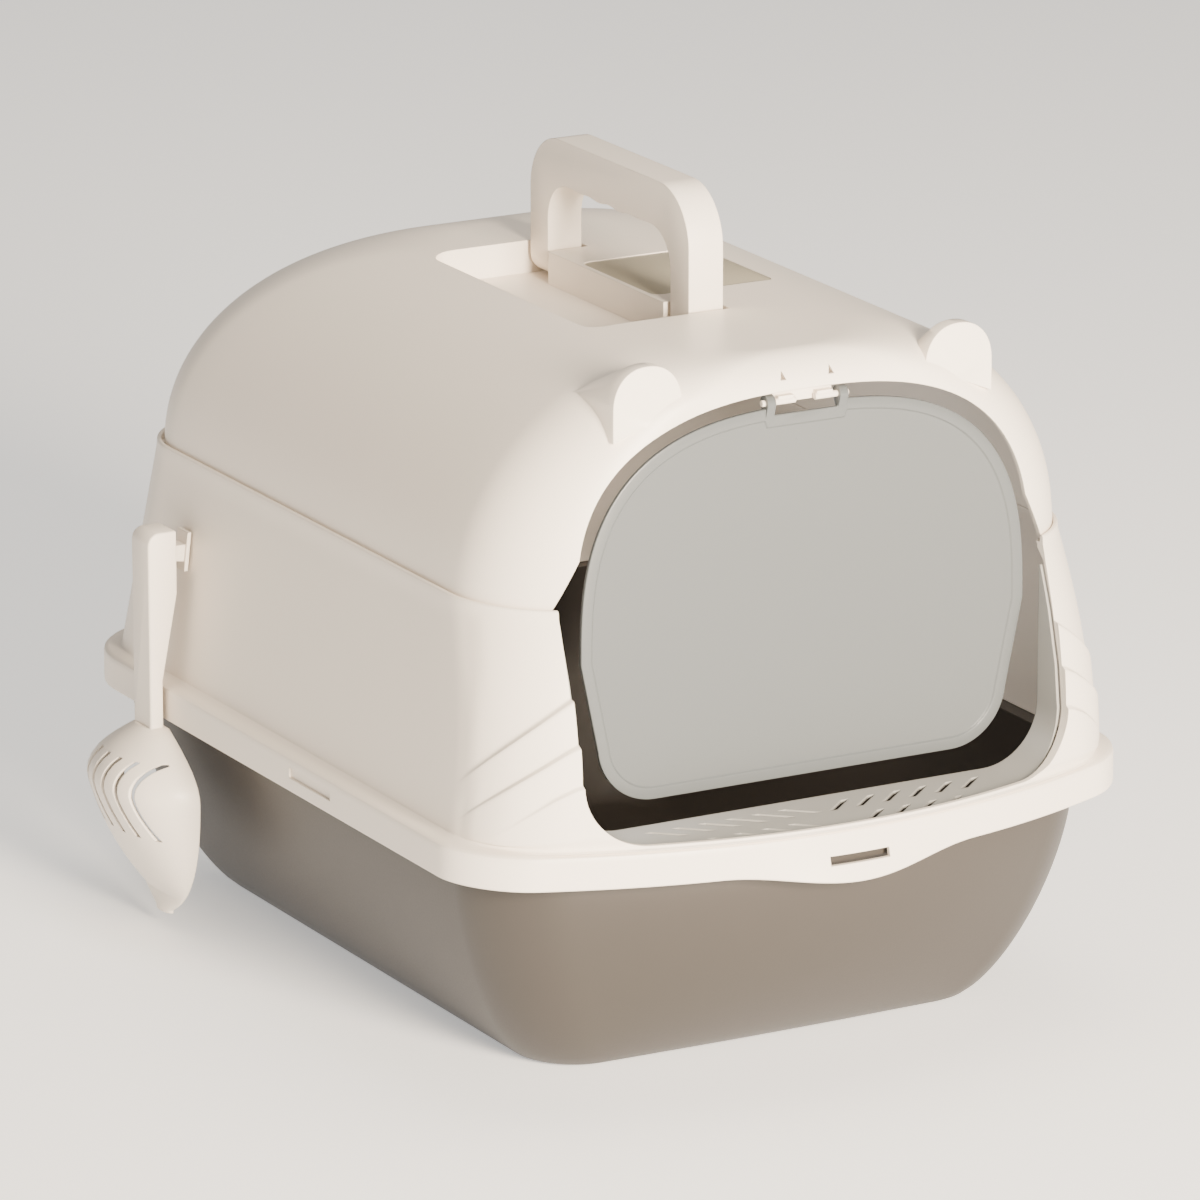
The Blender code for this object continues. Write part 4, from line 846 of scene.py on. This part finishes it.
# ---- stage --------------------------------------------------------------------------------
def softbox(name, place, target, size, watts, hex_code):
    """A square softbox that faces a point."""
    bpy.ops.object.select_all(action="DESELECT")
    bpy.ops.object.light_add(type="AREA", location=place)
    light = bpy.context.object
    light.name = name
    light.data.energy, light.data.size = watts, size
    light.data.color = linear(hex_code)[:3]
    light.rotation_euler = (Vector(target) - Vector(place)).to_track_quat("-Z", "Y").to_euler()
    return light


def build_stage():
    bpy.ops.object.select_all(action="DESELECT")
    bpy.ops.mesh.primitive_grid_add(x_subdivisions=24, y_subdivisions=24, size=30.0,
                                    location=(0, 6.0, -0.0002))
    floor = bpy.context.object
    floor.name = "studio_floor"
    floor.data.materials.append(studio_paper("studio_paper", colours().floor))
    scene = bpy.context.scene
    world = bpy.data.worlds.new("studio")
    world.use_nodes = True
    back = world.node_tree.nodes["Background"]
    back.inputs["Color"].default_value = linear("#FFFDFA")
    back.inputs["Strength"].default_value = 0.27
    scene.world = world
    softbox("key", (-0.15, -3.3, 1.10), (0.0, -0.05, 0.2), 1.0, 520.0, "#FFEFDA")
    softbox("top", (0.5, 0.3, 2.8), (0.0, 0.0, 0.3), 2.0, 45.0, "#FFF6EA")
    # the thin walls let daylight through, so the cabin is dim and not black
    bpy.ops.object.light_add(type="POINT", location=(0.0, -0.06, 0.27))
    glow = bpy.context.object
    glow.name = "cabin_glow"
    glow.data.energy, glow.data.shadow_soft_size = 0.55, 0.06
    bpy.ops.object.camera_add()
    camera = bpy.context.object
    camera.name = "view_camera"
    back_to, right = Vector((-0.46679, -0.84017, 0.27610)), Vector((0.87415, -0.48566, 0.0))
    up = back_to.cross(right)
    turn = Matrix((right, up, back_to)).transposed().to_4x4()
    turn.translation = Vector((0.0, -0.027, 0.22)) + back_to * 4.837
    camera.matrix_world = turn
    camera.data.sensor_width, camera.data.lens = 36.0, 264.24
    camera.data.shift_x, camera.data.shift_y = -0.01475, -0.0287
    camera.data.clip_end = 60.0
    scene.camera = camera


def build_small_pieces():
    """Give the CAD pieces whose shape is already right their finish."""
    for node, finish in (("scoop_hook", "cream"), ("lid_pin_left", "cream"),
                         ("lid_pin_right", "cream"), ("handle_pin_front", "cream"),
                         ("handle_pin_rear", "cream"), ("door_hinge_bracket", "cream"),
                         ("filter_basket", "cream"), ("charcoal_filter", None)):
        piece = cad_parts[node]
        name = f"{finish}_moulded_polypropylene" if finish else "charcoal_foam"
        piece.data.materials.clear()
        piece.data.materials.append(finish_named(name))


# ---- operators ----------------------------------------------------------------------------
class LITTERBOX_OT_stage(bpy.types.Operator):
    """Floor, softboxes and camera"""

    bl_idname = "litterbox.stage"
    bl_label = "Studio stage"

    def execute(self, context):
        build_stage()
        return {"FINISHED"}


class LITTERBOX_OT_small(bpy.types.Operator):
    """Finish of pins, hook, bracket, basket and charcoal pad"""

    bl_idname = "litterbox.small"
    bl_label = "Small pieces"

    def execute(self, context):
        build_small_pieces()
        return {"FINISHED"}


class LITTERBOX_OT_tray(bpy.types.Operator):
    """Taupe litter tray"""

    bl_idname = "litterbox.tray"
    bl_label = "Litter tray"

    def execute(self, context):
        build_tray()
        return {"FINISHED"}


class LITTERBOX_OT_frame(bpy.types.Operator):
    """Hood frame with its whisker steps and skirt"""

    bl_idname = "litterbox.frame"
    bl_label = "Hood frame"

    def execute(self, context):
        build_frame()
        return {"FINISHED"}


class LITTERBOX_OT_cover(bpy.types.Operator):
    """Domed top cover with its ears"""

    bl_idname = "litterbox.cover"
    bl_label = "Top cover"

    def execute(self, context):
        build_cover()
        return {"FINISHED"}


class LITTERBOX_OT_handle(bpy.types.Operator):
    """Carry handle and filter hatch"""

    bl_idname = "litterbox.handle"
    bl_label = "Handle and hatch"

    def execute(self, context):
        build_handle()
        build_hatch()
        return {"FINISHED"}


class LITTERBOX_OT_entry(bpy.types.Operator):
    """Swinging flap and slotted step"""

    bl_idname = "litterbox.entry"
    bl_label = "Flap and step"

    def execute(self, context):
        build_flap()
        build_step()
        return {"FINISHED"}


class LITTERBOX_OT_scoop(bpy.types.Operator):
    """Slotted scoop on the left wall"""

    bl_idname = "litterbox.scoop"
    bl_label = "Scoop"

    def execute(self, context):
        build_scoop()
        return {"FINISHED"}


STEPS = (LITTERBOX_OT_stage, LITTERBOX_OT_small, LITTERBOX_OT_tray, LITTERBOX_OT_frame,
         LITTERBOX_OT_cover, LITTERBOX_OT_handle, LITTERBOX_OT_entry, LITTERBOX_OT_scoop)


class LITTERBOX_PT_panel(bpy.types.Panel):
    """Sizes, colours and one button for each step"""

    bl_label = "Litter Box"
    bl_space_type = "VIEW_3D"
    bl_region_type = "UI"
    bl_category = "Litter Box"

    def draw(self, context):
        for group in (sizes(), colours()):
            for key in group.bl_rna.properties.keys():
                if key not in ("rna_type", "name"):
                    self.layout.prop(group, key)
        for step in STEPS:
            self.layout.operator(step.bl_idname)


CLASSES = (BoxSizes, BoxColours, *STEPS, LITTERBOX_PT_panel)


def register():
    for cls in CLASSES:
        bpy.utils.register_class(cls)
    bpy.types.Scene.litter_box_sizes = PointerProperty(type=BoxSizes)
    bpy.types.Scene.litter_box_colours = PointerProperty(type=BoxColours)


def unregister():
    del bpy.types.Scene.litter_box_colours
    del bpy.types.Scene.litter_box_sizes
    for cls in reversed(CLASSES):
        bpy.utils.unregister_class(cls)


def main():
    register()
    for step in STEPS:
        group, name = step.bl_idname.split(".")
        getattr(getattr(bpy.ops, group), name)()


if __name__ == "__main__":
    main()
